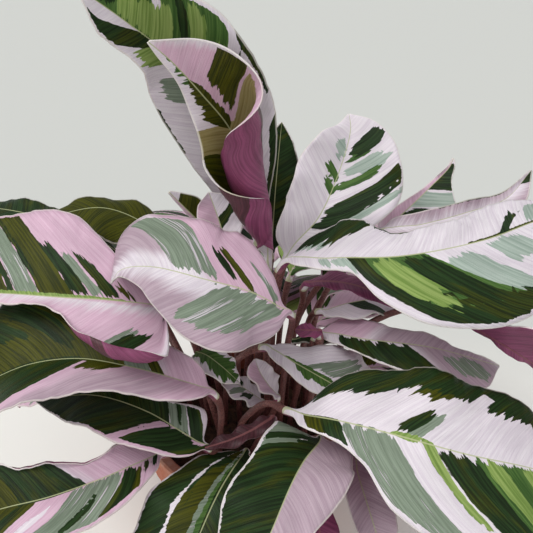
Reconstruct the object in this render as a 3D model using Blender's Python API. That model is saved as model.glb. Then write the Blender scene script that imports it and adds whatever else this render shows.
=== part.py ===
"""Potted white-variegated prayer plant: a clay pot, its soil and one solid for each leaf with its stalk.

+Z is up and the origin is the centre of the pot's underside. The plant's front faces -Y.
The tables hold real sizes in millimetres and degrees; the meshes are made in metres.
"""

import math
from dataclasses import dataclass

import bpy
import numpy as np

MM = 0.001

# Pot: a plain five-inch clay pot with a thick rim
POT_HEIGHT = 118.0
POT_TOP_RADIUS = 66.0
POT_BASE_RADIUS = 46.0
POT_WALL = 5.0
POT_FLOOR = 7.0
RIM_HEIGHT = 25.0
RIM_PROUD = 3.0
POT_EDGE = 1.2
POT_SIDES = 48
DRAIN_HOLES = 4
DRAIN_RADIUS = 4.5
DRAIN_CIRCLE = 24.0
DRAIN_SIDES = 12

# Soil: a mounded fill with crumbs on its face and a plain hole for each stalk
SOIL_TOP = 104.0
SOIL_MOUND = 3.0
SOIL_SIDES = 30
SOIL_RINGS = 6
CRUMB = 0.8
FIT_GAP = 0.35
STALK_SUNK = 22.0
HOLE_CLEARANCE = 0.7
HOLE_SIDES = 8

# Leaves
STALK_RADIUS = 1.9
KNEE_SWELL = 0.25
BLADE_THICKNESS = 0.8
RIB_DEPTH = 0.6
TIP_HALF_WIDTH = 0.8
NECK_HALF_WIDTH = 2.2
NECK_SHARE = 0.07
STATIONS = (0.12, 0.35, 0.6, 0.85)
ROLL_START = 0.7
WAVE_SEED = 11
CURVE_STEPS = 24

# Colours of the plain solids
CLAY = (0.62, 0.27, 0.17)
EARTH = (0.07, 0.04, 0.022)
LEAF_PALE = (0.72, 0.60, 0.66)
LEAF_GREEN = (0.06, 0.12, 0.045)
LEAF_PURPLE = (0.26, 0.07, 0.15)


@dataclass
class Leaf:
    """One leaf: a stalk from its root to the neck, then a blade along the midrib, neck to tip.

    Widths are the two half blades at the stations, seen from the neck with the upper face up.
    Tilts raise a half from flat, curls bend it on the way out, and rolls turn its edge over.
    """

    name: str
    root: tuple
    midrib: list
    left: tuple
    right: tuple
    tilt: tuple = (15, 15)
    curl: tuple = (-10, -10)
    roll: tuple = (0, 0)
    face: tuple = (0, 0, 1)
    wave: float = 1.6
    waves: float = 3.0
    stalk: tuple = ()
    stations: tuple = STATIONS
    steps: tuple = (3, 10)
    across: int = 2
    colour: tuple = LEAF_PALE


SHOWN_LEAVES = [
    Leaf("leaf_top_tall", (-1, 24), [(8, 38, 232), (-3, 34, 277), (-15, 28, 310), (-25, 20, 334), (-35, 10, 355),
         (-50, -4, 374), (-65, -20, 392)], (13, 21, 22, 20, 16, 13, 12), (12, 32, 39, 40, 34, 22, 10),
         stations=(0.12, 0.35, 0.5, 0.6, 0.7, 0.8, 0.9), tilt=(10, 20), curl=(0, 0), face=(-0.2, -0.8, 0.6),
         steps=(3, 13)),
    Leaf("leaf_top_rolled", (4, 10), [(15, 8, 234), (13, 10, 256), (5, 10, 285), (-4, 6, 316), (-17, -1, 338),
         (-29, -12, 358), (-37, -22, 370)], (5, 18, 34, 46, 42, 30, 24, 19, 14, 9, 5, 3),
         (5, 16, 27, 38, 46, 50, 54, 58, 59, 52, 34, 11),
         stations=(0.05, 0.12, 0.2, 0.3, 0.38, 0.46, 0.54, 0.6, 0.66, 0.73, 0.82, 0.93),
         tilt=((10, 5, 0, 0, 0, 5, 12, 14, 14, 10, 8, 0), (5, 0, -5, -5, -5, -10, -20, -30, -30, -18, -12, -10)),
         curl=((60, 180, 225, 240, 190, 110, 60, 40, 25, 10, 0, 0),
               (90, 240, 275, 280, 280, 278, 275, 262, 232, 142, 85, 40)),
         face=(-0.15, -0.9, 0.45), wave=0, steps=(3, 15), across=6),
    Leaf("leaf_back_white", (16, 14), [(26, 24, 226), (45, 34, 248), (56, 48, 267), (64, 62, 292), (63, 67, 300)],
         (16, 24, 26, 18), (13, 28, 40, 29), tilt=(24, 15), face=(-0.1, -0.9, 0.5)),
    Leaf("leaf_back_slim", (8, 28), [(17, 46, 216), (19, 50, 253), (21, 57, 276), (23, 64, 296)],
         (5, 8, 10, 9), (8, 13, 14, 9), tilt=(20, 20), curl=(0, 0), face=(0.2, -0.9, 0.4), waves=2, colour=LEAF_GREEN),
    Leaf("leaf_back_right", (40, 14), [(86, 52, 224), (105, 60, 240), (119, 68, 251), (130, 73, 262), (132, 75, 267)],
         (8, 6, 3, 2), (13, 19, 25, 6), tilt=(10, 10), curl=(0, 0), face=(0, -0.6, 0.8), steps=(3, 9),
         stalk=((50, 25, 196),)),
    Leaf("leaf_back_lilac", (27, 17), [(82, 26, 243), (106, 29, 246), (137, 42, 247), (164, 56, 249), (180, 68, 262)],
         (7, 8, 7, 4), (14, 17, 17, 10), tilt=(30, 20), curl=(0, 0), face=(0, -0.3, 1), steps=(3, 9),
         stalk=((37, 20, 190),)),
    Leaf("leaf_right_large", (14, -6), [(23, -12, 246), (47, -27, 260), (81, -34, 266), (125, -20, 266),
         (166, 8, 262), (205, 35, 254)], (17, 27, 23, 20, 22, 27, 19), (7, 8, 25, 39, 46, 42, 22),
         stations=(0.08, 0.2, 0.28, 0.36, 0.52, 0.66, 0.85),
         tilt=((25, 22, 15, 8, 5, 5, 5), (-5, -10, -20, -24, -26, -24, -15)), curl=(-10, -15), steps=(3, 14)),
    Leaf("leaf_right_under", (22, 6), [(37, 2, 222), (55, -7, 230), (72, -15, 230), (88, -21, 223)],
         (8, 10, 10, 8), (4, 5, 6, 5), tilt=(10, 0), curl=(-20, -20),
         stalk=((31, 14, 172), (36, 9, 205)), colour=LEAF_PURPLE),
    Leaf("leaf_right_edge", (36, -8), [(116, -23, 221), (132, -37, 218), (157, -47, 206), (185, -50, 182)],
         (3, 4, 4, 3), (14, 24, 32, 24), tilt=(0, 0), face=(0.1, 0.9, 0.4),
         stalk=((60, -16, 194), (92, -15, 217)), colour=LEAF_PURPLE),
    Leaf("leaf_centre_pink", (22, -13), [(25, -42, 236), (8, -44, 250), (-17, -44, 259), (-45, -36, 261),
         (-60, -33, 257), (-67, -32, 248)], (25, 38, 24, 10, 3), (17, 37, 36, 38.5, 28), tilt=(-10, 20),
         curl=(-22, -10), stations=(0.12, 0.35, 0.6, 0.8, 0.93), steps=(3, 13),
         stalk=((26, -14, 185), (28, -30, 222))),
    Leaf("leaf_left_upper", (-25, 0), [(-41, -26, 226), (-66, -33, 237), (-94, -34, 240), (-130, -24, 235),
         (-166, -7, 222)], (40, 52, 50, 34, 12, 7, 6), (8, 12, 21, 36, 46, 48, 45), tilt=(-8, 45), curl=(-5, -10),
         stations=(0.05, 0.12, 0.2, 0.3, 0.4, 0.5, 0.85), roll=((60, 130, 150, 120, 60, 0, 0), 0),
         steps=(3, 13), across=4, stalk=((-30, -2, 178),)),
    Leaf("leaf_left_olive", (-16, 12), [(-42, 22, 233), (-60, 26, 250), (-80, 26, 259), (-98, 20, 260),
         (-113, 10, 258)], (16, 24, 26, 18), (10, 16, 13, 8), tilt=(0, 10), curl=(-20, -20), colour=LEAF_GREEN),
    Leaf("leaf_left_far", (-28, 10), [(-78, 28, 226), (-112, 42, 238), (-145, 58, 238), (-178, 76, 230),
         (-205, 92, 216)], (14, 20, 18, 10), (12, 15, 14, 9), tilt=(0, 10), curl=(-20, -20), colour=LEAF_GREEN),
    Leaf("leaf_centre_back", (-4, 2), [(-7, 8, 238), (-10, 12, 247), (-13, 17, 256), (-18.5, 22, 272)],
         (6, 10, 12, 9), (6, 12, 14, 12), tilt=(10, 10), curl=(0, 0), face=(-0.2, -0.6, 0.8), steps=(3, 8)),
    Leaf("leaf_left_middle", (-16, -28), [(-15, -60, 196), (-33, -62, 208), (-57, -59, 214), (-84, -53, 214),
         (-112, -51, 208), (-141, -52, 194)], (15, 24, 36, 47), (13, 20, 30, 42), tilt=(15, 35),
         steps=(3, 12)),
    Leaf("leaf_left_lower", (-8, -36), [(-19, -71, 166), (-33, -68, 176), (-51, -60, 182), (-81, -50, 184),
         (-117, -44, 174)], (16, 26, 25, 13), (17, 9, 9, 8), tilt=(10, 30), colour=LEAF_GREEN),
    Leaf("leaf_front_left", (-24, -30), [(-44, -69, 158), (-58, -82, 164), (-72, -92, 166), (-97, -100, 162),
         (-124, -100, 152), (-149, -99, 138)], (12, 24, 30, 18), (13, 14, 22, 24), tilt=(5, 35),
         roll=(0, (20, 140, 140, 20)), steps=(3, 12), across=4),
    Leaf("leaf_front_dark", (4, -30), [(17, -56, 172), (5, -66, 173), (-7, -72, 172), (-19, -74, 169)],
         (4, 5, 5, 3), (4, 5, 5, 4), tilt=(0, 10), steps=(3, 8), across=4, colour=LEAF_PURPLE),
    Leaf("leaf_front_olive", (-2, -44), [(2, -61, 150), (-10, -88, 154), (-20, -110, 146), (-30, -129, 126)],
         (7, 12, 13, 8), (10, 24, 33, 33), tilt=(5, 25), curl=(-20, -20), colour=LEAF_GREEN),
    Leaf("leaf_front_centre", (16, -36), [(43, -71, 172), (33, -92, 180), (26, -108, 182), (16, -129, 174),
         (4, -145, 152)], (21, 28, 21, 12), (25, 24, 27, 22), tilt=(20, 25), curl=(-20, -20), steps=(3, 12),
         colour=LEAF_GREEN),
    Leaf("leaf_front_right_large", (-2, -16), [(27, -70, 192), (50, -87, 204), (77, -102, 210), (106, -109, 206),
         (141, -108, 194), (174, -105, 176)], (22, 36, 40, 43, 44, 36), (8, 11, 18, 34, 44, 30),
         stations=(0.08, 0.2, 0.3, 0.4, 0.6, 0.85), tilt=((15,) * 6, (-5, -8, -16, -24, -24, -20)),
         curl=(-10, -10), stalk=((0, -37, 150), (14, -50, 178)), steps=(3, 14)),
    Leaf("leaf_right_middle", (-14, 0), [(14, -25, 197), (31, -40, 198), (56, -53, 191), (85, -56, 176)],
         (10, 23, 33, 30), (6, 10, 12, 8), tilt=(5, 5), stalk=((-9, -8, 160), (-1, -15, 181))),
    Leaf("leaf_right_low", (29, -5), [(44, -13, 196), (72, -29, 206), (104, -35, 206), (145, -35, 192)],
         (13, 12, 8, 4), (7, 14, 24, 22), tilt=(20, 0), stalk=((36, -15, 168), (40, -17, 184))),
    Leaf("leaf_front_shaded", (26, -24), [(62, -52, 150), (63, -83, 158), (68, -106, 152), (76, -124, 132)],
         (7, 13, 14, 10), (6, 8, 10, 7), tilt=(5, 5), curl=(-20, -20), colour=LEAF_PURPLE),
    Leaf("leaf_front_curled", (8, -44), [(33, -62, 136), (39, -89, 140), (43, -106, 134), (47, -123, 116)],
         (6, 9, 10, 7), (5, 8, 10, 7), tilt=(20, 20), curl=(-20, -20), colour=LEAF_PURPLE),
    Leaf("leaf_young_green", (-16, -14), [(-27, -12, 180), (-22, -17, 184), (-12, -25, 182), (-2, -30, 174)],
         (7, 10, 9, 6), (7, 10, 12, 7), steps=(3, 8)),
    Leaf("leaf_young_cream", (3, -5), [(11, -22, 150), (4, -22, 158), (-4, -21, 164), (-14, -19, 166)],
         (7, 12, 13, 8), (6, 8, 7, 5), steps=(3, 8)),
    Leaf("leaf_young_lilac", (11, -16), [(20, -27, 160), (15, -26, 168), (10, -22, 175), (7, -16, 180)],
         (6, 9, 10, 7), (7, 9, 8, 6), tilt=(25, 25), steps=(3, 8)),
    Leaf("leaf_right_dark", (13, 2), [(31, 2, 178), (45, 0, 185), (59, -1, 189), (71, -3, 187)],
         (4, 5, 5, 4), (5, 10, 13, 10), tilt=(10, 10), steps=(3, 8), colour=LEAF_GREEN),
    Leaf("leaf_right_small", (32, 7), [(47, -1, 204), (63, -3, 212), (80, 0, 212), (95, 3, 204)],
         (8, 12, 12, 9), (9, 15, 16, 10), tilt=(10, 10), steps=(3, 8), stalk=((40, 14, 182), (43, 8, 196))),
    Leaf("leaf_bud", (-10, 20), [(-18, 28, 237), (-26, 28, 249), (-34, 28, 259), (-42, 28, 269)],
         (3, 3, 2, 1.5), (5, 10, 10, 5), tilt=(0, 0), curl=(-30, -30), wave=0, face=(-0.2, -0.8, 0.5),
         steps=(3, 8), across=3),
    Leaf("leaf_right_slip", (38, -17), [(43.5, -21, 205.5), (40, -22.5, 207.5), (36, -23, 208), (30.5, -21, 207)],
         (5, 6, 6, 4), (4, 6, 7, 5), tilt=(10, 10), wave=0.6, steps=(3, 8), colour=LEAF_PURPLE),
]


@dataclass
class Arch:
    """A leaf that leans straight out from the crown and droops: its midrib follows from these sizes."""

    name: str
    azimuth: float
    root_out: float
    neck_out: float
    neck_up: float
    length: float
    rise: float
    droop: float
    half_width: float
    tilt: float = 20


HIDDEN_LEAVES = [
    Arch("leaf_rear_1", 36, 42, 64, 186, 128, 28, 58, 34),
    Arch("leaf_rear_2", 60, 41, 60, 192, 132, 28, 58, 35),
    Arch("leaf_rear_3", 86, 42, 62, 184, 126, 28, 58, 33),
    Arch("leaf_rear_4", 110, 41, 60, 192, 134, 28, 58, 36),
    Arch("leaf_rear_5", 134, 42, 62, 186, 128, 28, 58, 34),
    Arch("leaf_rear_6", 158, 42, 60, 180, 122, 26, 58, 32),
    Arch("leaf_low_1", 8, 49, 68, 142, 104, 20, 62, 30),
    Arch("leaf_low_2", 48, 49, 70, 146, 110, 22, 62, 31),
    Arch("leaf_low_3", 74, 49, 68, 140, 112, 20, 60, 31),
    Arch("leaf_low_4", 98, 49, 70, 146, 114, 22, 62, 32),
    Arch("leaf_low_5", 122, 49, 68, 140, 110, 20, 62, 31),
    Arch("leaf_low_6", 148, 49, 70, 146, 112, 22, 60, 32),
    Arch("leaf_low_7", 174, 49, 68, 142, 104, 20, 62, 30),
]


def crown_direction(azimuth):
    turn = math.radians(azimuth)
    return np.array([math.cos(turn), math.sin(turn), 0.0])


def arching_leaf(arch):
    """The Leaf that an Arch describes, with four midrib points turned steadily from rise to droop."""
    outward = crown_direction(arch.azimuth)
    point = outward * arch.neck_out + (0, 0, arch.neck_up)
    midrib = [tuple(point)]
    for share in (1 / 6, 0.5, 5 / 6):
        lean = math.radians(arch.rise - share * (arch.rise + arch.droop))
        point = point + (outward * math.cos(lean) + np.array([0, 0, math.sin(lean)])) * arch.length / 3
        midrib.append(tuple(point))
    root = outward * arch.root_out
    widths = tuple(arch.half_width * share for share in (0.55, 1.0, 0.95, 0.5))
    return Leaf(arch.name, (root[0], root[1]), midrib, widths, widths, tilt=(arch.tilt, arch.tilt),
                curl=(-25, -25), steps=(3, 7), colour=LEAF_GREEN)


def all_leaves():
    return SHOWN_LEAVES + [arching_leaf(arch) for arch in HIDDEN_LEAVES]


def smooth_curve(points, steps=CURVE_STEPS):
    """Centripetal Catmull-Rom curve through the inner points; the first and last only steer it."""
    knots = np.concatenate([[0], np.cumsum(np.linalg.norm(np.diff(points, axis=0), axis=1) ** 0.5)])
    parts = []
    for i in range(1, len(points) - 2):
        t = np.linspace(knots[i], knots[i + 1], steps, endpoint=False)[:, None]
        t0, t1, t2, t3 = knots[i - 1:i + 3]
        p0, p1, p2, p3 = points[i - 1:i + 3]
        a1 = ((t1 - t) * p0 + (t - t0) * p1) / (t1 - t0)
        a2 = ((t2 - t) * p1 + (t - t1) * p2) / (t2 - t1)
        a3 = ((t3 - t) * p2 + (t - t2) * p3) / (t3 - t2)
        b1 = ((t2 - t) * a1 + (t - t0) * a2) / (t2 - t0)
        b2 = ((t3 - t) * a2 + (t - t1) * a3) / (t3 - t1)
        parts.append(((t2 - t) * b1 + (t - t1) * b2) / (t2 - t1))
    return np.vstack(parts + [points[-2][None]])


def monotone(x, known_x, known_y):
    """Smooth curve through known values that never overshoots them."""
    known_x = np.asarray(known_x, float)
    known_y = np.asarray(known_y, float)
    gaps = np.diff(known_x)
    slopes = np.diff(known_y) / gaps
    tangents = np.zeros(len(known_x))
    tangents[0] = slopes[0]
    tangents[-1] = slopes[-1]
    for k in range(1, len(known_x) - 1):
        if slopes[k - 1] * slopes[k] > 0:
            before = 2 * gaps[k] + gaps[k - 1]
            after = gaps[k] + 2 * gaps[k - 1]
            tangents[k] = (before + after) / (before / slopes[k - 1] + after / slopes[k])
    i = np.clip(np.searchsorted(known_x, x) - 1, 0, len(gaps) - 1)
    u = (x - known_x[i]) / gaps[i]
    low = (1 + 2 * u) * (1 - u) ** 2 * known_y[i] + u * (1 - u) ** 2 * gaps[i] * tangents[i]
    high = u * u * (3 - 2 * u) * known_y[i + 1] - u * u * (1 - u) * gaps[i] * tangents[i + 1]
    return low + high


def unit(vector):
    return vector / np.linalg.norm(vector, axis=-1, keepdims=True)


def smoothstep(x):
    x = np.clip(x, 0, 1)
    return x * x * (3 - 2 * x)


class Path:
    """A dense curve with its arc length, read by distance from its start."""

    def __init__(self, points):
        self.points = points
        self.reach = np.concatenate([[0], np.cumsum(np.linalg.norm(np.diff(points, axis=0), axis=1))])
        self.length = self.reach[-1]
        self.tangents = unit(np.gradient(points, self.reach, axis=0))

    def at(self, distance):
        columns = [np.interp(distance, self.reach, self.points[:, axis]) for axis in range(3)]
        return np.stack(columns, axis=-1)

    def tangent_at(self, distance):
        columns = [np.interp(distance, self.reach, self.tangents[:, axis]) for axis in range(3)]
        return unit(np.stack(columns, axis=-1))


def leaf_paths(leaf):
    """The stalk's path from the bottom of its hole to the neck, and the blade's from neck to tip."""
    foot = np.array([leaf.root[0], leaf.root[1], SOIL_TOP - STALK_SUNK])
    collar = np.array([leaf.root[0], leaf.root[1], SOIL_TOP + SOIL_MOUND + 2])
    midrib = np.array(leaf.midrib, float)
    tail = 2 * midrib[-1] - midrib[-2]
    guide = np.array([collar] + [np.array(p, float) for p in leaf.stalk] + list(midrib) + [tail])
    below = collar - (0, 0, 0.7 * np.linalg.norm(guide[1] - collar))
    curve = smooth_curve(np.vstack([below, guide]))
    neck = (1 + len(leaf.stalk)) * CURVE_STEPS
    return Path(np.vstack([foot, curve[:neck + 1]])), Path(curve[neck:])


def station_values(leaf, values, s):
    """A per-leaf number, or one number for each station, read along the blade."""
    if np.ndim(values) == 0:
        return np.full(len(s), float(values))
    return np.interp(s, leaf.stations, values)


def half_width(leaf, widths, s):
    return monotone(s, (0, *leaf.stations, 1), (NECK_HALF_WIDTH, *widths, TIP_HALF_WIDTH))


def half_section(width, tilt, curl, roll, share):
    """Points across one half blade, as (out, up) from the midrib, and the slope there."""
    fine = np.linspace(0, 1, 61)
    slope = np.radians(tilt + curl * fine + roll * smoothstep((fine - ROLL_START) / (1 - ROLL_START)))
    out = np.concatenate([[0], np.cumsum((np.cos(slope[1:]) + np.cos(slope[:-1])) / 2)]) * width / 60
    up = np.concatenate([[0], np.cumsum((np.sin(slope[1:]) + np.sin(slope[:-1])) / 2)]) * width / 60
    return np.interp(share, fine, out), np.interp(share, fine, up), np.interp(share, fine, slope)


def wave_height(leaf, side, s, share, phases):
    """How far the ruffled edge stands from the smooth blade."""
    swing = np.sin(2 * math.pi * leaf.waves * s + phases[side])
    return leaf.wave * share ** 2 * np.sin(math.pi * s) ** 0.5 * swing


def blade_rings(leaf, path, s, phases):
    """Upper and lower points of each ring across the blade, left edge to right edge."""
    centre = path.at(s * path.length)
    tangent = path.tangent_at(s * path.length)
    leftward = unit(np.cross(np.array(leaf.face, float), tangent))
    upward = np.cross(tangent, leftward)
    share = np.linspace(0, 1, leaf.across + 1)
    widths = [half_width(leaf, w, s) for w in (leaf.left, leaf.right)]
    bends = [[station_values(leaf, pair[side], s) for pair in (leaf.tilt, leaf.curl, leaf.roll)] for side in (0, 1)]
    rings = []
    for i in range(len(s)):
        rows = []
        for side, sign in ((0, 1.0), (1, -1.0)):
            tilt, curl, roll = (bend[i] for bend in bends[side])
            out, up, slope = half_section(widths[side][i], tilt, curl, roll, share)
            lift = wave_height(leaf, side, s[i], share, phases)
            out = out - lift * np.sin(slope)
            up = up + lift * np.cos(slope)
            rows.append((sign * out, up, -sign * np.sin(slope), np.cos(slope)))
        left, right = rows
        middle = [(left[k][0] + right[k][0]) / 2 for k in (2, 3)]
        size = math.hypot(*middle)
        x, y = (np.concatenate([left[k][::-1], right[k][1:]]) for k in (0, 1))
        nx, ny = (np.concatenate([left[k][:0:-1], [middle[k - 2] / size], right[k][1:]]) for k in (2, 3))
        half = np.full(len(x), BLADE_THICKNESS / 2)
        deep = half.copy()
        deep[leaf.across] += RIB_DEPTH * (1 - s[i])
        ring = [centre[i] + np.outer(x + nx * h, leftward[i]) + np.outer(y + ny * h, upward[i])
                for h in (half, -deep)]
        rings.append(np.vstack(ring))
    return np.array(rings), leftward


def stalk_rings(leaf, path, distances, neck_left):
    """Round rings down the stalk, turned as little as the bends allow."""
    dense = np.linspace(0, path.length, 200)
    tangents = path.tangent_at(dense)
    left = [neck_left]
    for tangent in tangents[-2::-1]:
        left.append(unit(left[-1] - tangent * np.dot(left[-1], tangent)))
    left = np.array(left[::-1])
    columns = [np.interp(distances, dense, left[:, axis]) for axis in range(3)]
    tangent = path.tangent_at(distances)
    leftward = np.stack(columns, axis=-1)
    leftward = unit(leftward - tangent * np.sum(leftward * tangent, axis=1, keepdims=True))
    upward = np.cross(tangent, leftward)
    centre = path.at(distances)
    swell = 1 + KNEE_SWELL * smoothstep((distances - path.length + 16) / 8)
    circle = stalk_circle(leaf.across)
    radius = (STALK_RADIUS * swell)[:, None, None]
    return centre[:, None] + radius * (circle[None, :, :1] * leftward[:, None] + circle[None, :, 1:] * upward[:, None])


def stalk_circle(across):
    """Unit circle in the blade's point order: over the top from left to right, then the underside."""
    count = 2 * across + 1
    angle = math.pi * (np.arange(count) + 0.5) / count
    return np.vstack([np.stack([np.cos(angle), np.sin(angle)], 1), np.stack([np.cos(angle), -np.sin(angle)], 1)])


def leaf_rings(leaf, index):
    """All rings of a leaf from the foot of its stalk to its tip."""
    stalk, blade = leaf_paths(leaf)
    phases = np.random.default_rng(WAVE_SEED + index).uniform(0, 2 * math.pi, 2)
    u = np.linspace(0, 1, leaf.steps[1] + 1)
    s = 0.6 * u + 0.4 * smoothstep(u)
    blades, leftward = blade_rings(leaf, blade, s, phases)
    buried = STALK_SUNK + SOIL_MOUND + 2
    climb = np.linspace(buried, stalk.length, leaf.steps[0] + 1)
    distances = np.concatenate([[0], climb])
    stalks = stalk_rings(leaf, stalk, distances, leftward[0])
    blend = smoothstep(s / NECK_SHARE)[:, None, None]
    swollen = STALK_RADIUS * (1 + KNEE_SWELL)
    circle = stalk_circle(leaf.across)
    centre = blade.at(s * blade.length)
    upward = np.cross(blade.tangent_at(s * blade.length), leftward)
    rounds = centre[:, None] + swollen * (circle[None, :, :1] * leftward[:, None] + circle[None, :, 1:] * upward[:, None])
    return np.concatenate([stalks[:-1], rounds * (1 - blend) + blades * blend])


def closed_loft(rings):
    """Triangles over a stack of rings, each an upper row then a lower row, split alike on both faces."""
    count, size = rings.shape[:2]
    row = size // 2
    faces = []

    def vertex(i, j, lower):
        return i * size + j + (row if lower else 0)

    for i in range(count - 1):
        for j in range(row - 1):
            a, b, c, d = ((i, j), (i, j + 1), (i + 1, j + 1), (i + 1, j))
            halves = ((a, b, c), (a, c, d)) if j < row // 2 else ((a, b, d), (b, c, d))
            for triangle in halves:
                faces.append([vertex(*corner, False) for corner in triangle])
                faces.append([vertex(*corner, True) for corner in reversed(triangle)])
        last = row - 1
        faces += split(vertex(i, 0, False), vertex(i + 1, 0, False), vertex(i + 1, 0, True), vertex(i, 0, True))
        faces += split(vertex(i, last, False), vertex(i, last, True), vertex(i + 1, last, True),
                       vertex(i + 1, last, False))
    end = count - 1
    for j in range(row - 1):
        faces += split(vertex(0, j, False), vertex(0, j, True), vertex(0, j + 1, True), vertex(0, j + 1, False))
        faces += split(vertex(end, j, False), vertex(end, j + 1, False), vertex(end, j + 1, True),
                       vertex(end, j, True))
    return rings.reshape(-1, 3), faces


def split(a, b, c, d):
    return [[a, b, c], [a, c, d]]


def turned(profile, sides):
    """A closed solid turned from (radius, height) points that start and end on the axis."""
    ring = [(math.cos(2 * math.pi * k / sides), math.sin(2 * math.pi * k / sides)) for k in range(sides)]
    inner = profile[1:-1]
    points = [(0.0, 0.0, profile[0][1])]
    points += [(r * c, r * s, z) for r, z in inner for c, s in ring]
    points.append((0.0, 0.0, profile[-1][1]))
    last = len(points) - 1
    faces = []
    for k in range(sides):
        following = (k + 1) % sides
        faces.append([0, 1 + following, 1 + k])
        for level in range(len(inner) - 1):
            low = 1 + level * sides
            high = low + sides
            faces.append([low + k, low + following, high + following, high + k])
        top = 1 + (len(inner) - 1) * sides
        faces.append([top + k, top + following, last])
    return np.array(points), faces


def pot_profile():
    """The pot's outline: up the outside, over the rim and down the inside to the floor."""
    shoulder = POT_HEIGHT - RIM_HEIGHT
    body = POT_TOP_RADIUS - RIM_PROUD - 1
    return [(0, 0), (POT_BASE_RADIUS - POT_EDGE, 0), (POT_BASE_RADIUS, POT_EDGE), (body, shoulder),
            (POT_TOP_RADIUS - 1, shoulder), (POT_TOP_RADIUS - 0.6, shoulder + POT_EDGE),
            (POT_TOP_RADIUS, POT_HEIGHT - POT_EDGE), (POT_TOP_RADIUS - POT_EDGE, POT_HEIGHT),
            (inner_radius(POT_HEIGHT) + POT_EDGE, POT_HEIGHT), (inner_radius(POT_HEIGHT), POT_HEIGHT - POT_EDGE),
            (inner_radius(POT_FLOOR), POT_FLOOR), (0, POT_FLOOR)]


def inner_radius(height):
    low = POT_BASE_RADIUS - POT_WALL
    high = POT_TOP_RADIUS - RIM_PROUD - POT_WALL + 1
    return low + (high - low) * height / POT_HEIGHT


def soil_height(x, y):
    """Height of the soil's face: a low mound with crumbs that follow a sum of waves."""
    radius = inner_radius(SOIL_TOP)
    crumbs = math.sin(0.31 * x + 0.9) * math.sin(0.27 * y) + math.sin(0.53 * y + 0.41 * x)
    return SOIL_TOP + SOIL_MOUND * (1 - (x * x + y * y) / radius ** 2) + CRUMB * crumbs / 2


def soil_profile():
    bottom = POT_FLOOR + FIT_GAP
    edge = inner_radius(SOIL_TOP) - FIT_GAP
    rings = [(edge * k / SOIL_RINGS, SOIL_TOP) for k in range(SOIL_RINGS, 0, -1)]
    return [(0, bottom), (inner_radius(bottom) - FIT_GAP, bottom)] + rings + [(0, SOIL_TOP)]


def soil_mesh():
    points, faces = turned(soil_profile(), SOIL_SIDES)
    top = points[:, 2] >= SOIL_TOP
    points[top, 2] = [soil_height(x, y) for x, y in points[top, :2]]
    return points, faces


def upright_prism(x, y, low, high, radius, sides):
    """A plain round hole's cutter."""
    corners = [(x + radius * math.cos(2 * math.pi * k / sides), y + radius * math.sin(2 * math.pi * k / sides))
               for k in range(sides)]
    points = [(*corner, low) for corner in corners] + [(*corner, high) for corner in corners]
    faces = [list(range(sides))[::-1], list(range(sides, 2 * sides))]
    faces += [[k, (k + 1) % sides, sides + (k + 1) % sides, sides + k] for k in range(sides)]
    return points, faces


def joined(pieces):
    points = []
    faces = []
    for piece_points, piece_faces in pieces:
        faces += [[corner + len(points) for corner in face] for face in piece_faces]
        points += list(piece_points)
    return np.array(points), faces


def material(name, colour, roughness):
    made = bpy.data.materials.new(name)
    made.use_nodes = True
    shader = made.node_tree.nodes["Principled BSDF"]
    shader.inputs["Base Color"].default_value = (*colour, 1)
    shader.inputs["Roughness"].default_value = roughness
    shader.inputs["Metallic"].default_value = 0
    return made


def mesh_object(name, points, faces, finish=None):
    mesh = bpy.data.meshes.new(name)
    mesh.from_pydata([tuple(point) for point in np.asarray(points) * MM], [], faces)
    mesh.validate()
    made = bpy.data.objects.new(name, mesh)
    bpy.context.scene.collection.objects.link(made)
    if finish:
        mesh.materials.append(finish)
        mesh.shade_smooth()
        mesh.set_sharp_from_angle(angle=math.radians(40))
    return made


def cut(target, name, pieces):
    """Cuts plain holes in target with one hidden cutter made of all the pieces."""
    cutter = mesh_object(name, *joined(pieces))
    cutter.hide_render = True
    cutter.display_type = "WIRE"
    holes = target.modifiers.new("holes", "BOOLEAN")
    holes.operation = "DIFFERENCE"
    holes.object = cutter


def make_pot():
    pot = mesh_object("pot", *turned(pot_profile(), POT_SIDES), material("clay", CLAY, 0.85))
    holes = []
    for k in range(DRAIN_HOLES):
        centre = crown_direction(45 + 360 * k / DRAIN_HOLES) * DRAIN_CIRCLE
        holes.append(upright_prism(centre[0], centre[1], -5, POT_FLOOR + 5, DRAIN_RADIUS, DRAIN_SIDES))
    cut(pot, "drain_cutter", holes)


def make_soil(leaves):
    soil = mesh_object("soil", *soil_mesh(), material("earth", EARTH, 0.95))
    low = SOIL_TOP - STALK_SUNK - FIT_GAP
    radius = STALK_RADIUS + HOLE_CLEARANCE
    holes = [upright_prism(*leaf.root, low, SOIL_TOP + 20, radius, HOLE_SIDES) for leaf in leaves]
    cut(soil, "stalk_cutter", holes)


def make_leaves(leaves):
    for index, leaf in enumerate(leaves):
        points, faces = closed_loft(leaf_rings(leaf, index))
        mesh_object(leaf.name, points, faces, material(leaf.name, leaf.colour, 0.45))


def main():
    for thing in list(bpy.data.objects):
        bpy.data.objects.remove(thing, do_unlink=True)
    leaves = all_leaves()
    make_pot()
    make_soil(leaves)
    make_leaves(leaves)


if __name__ == "__main__":
    main()
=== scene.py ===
"""Looks of the potted white-variegated prayer plant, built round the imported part.

+Z is up, the plant's front faces -Y, and the tables are in millimetres and degrees.
Each leaf is drawn again from the same table as its solid, in finer steps, and gets its markings.
"""

import math
from dataclasses import dataclass

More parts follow.
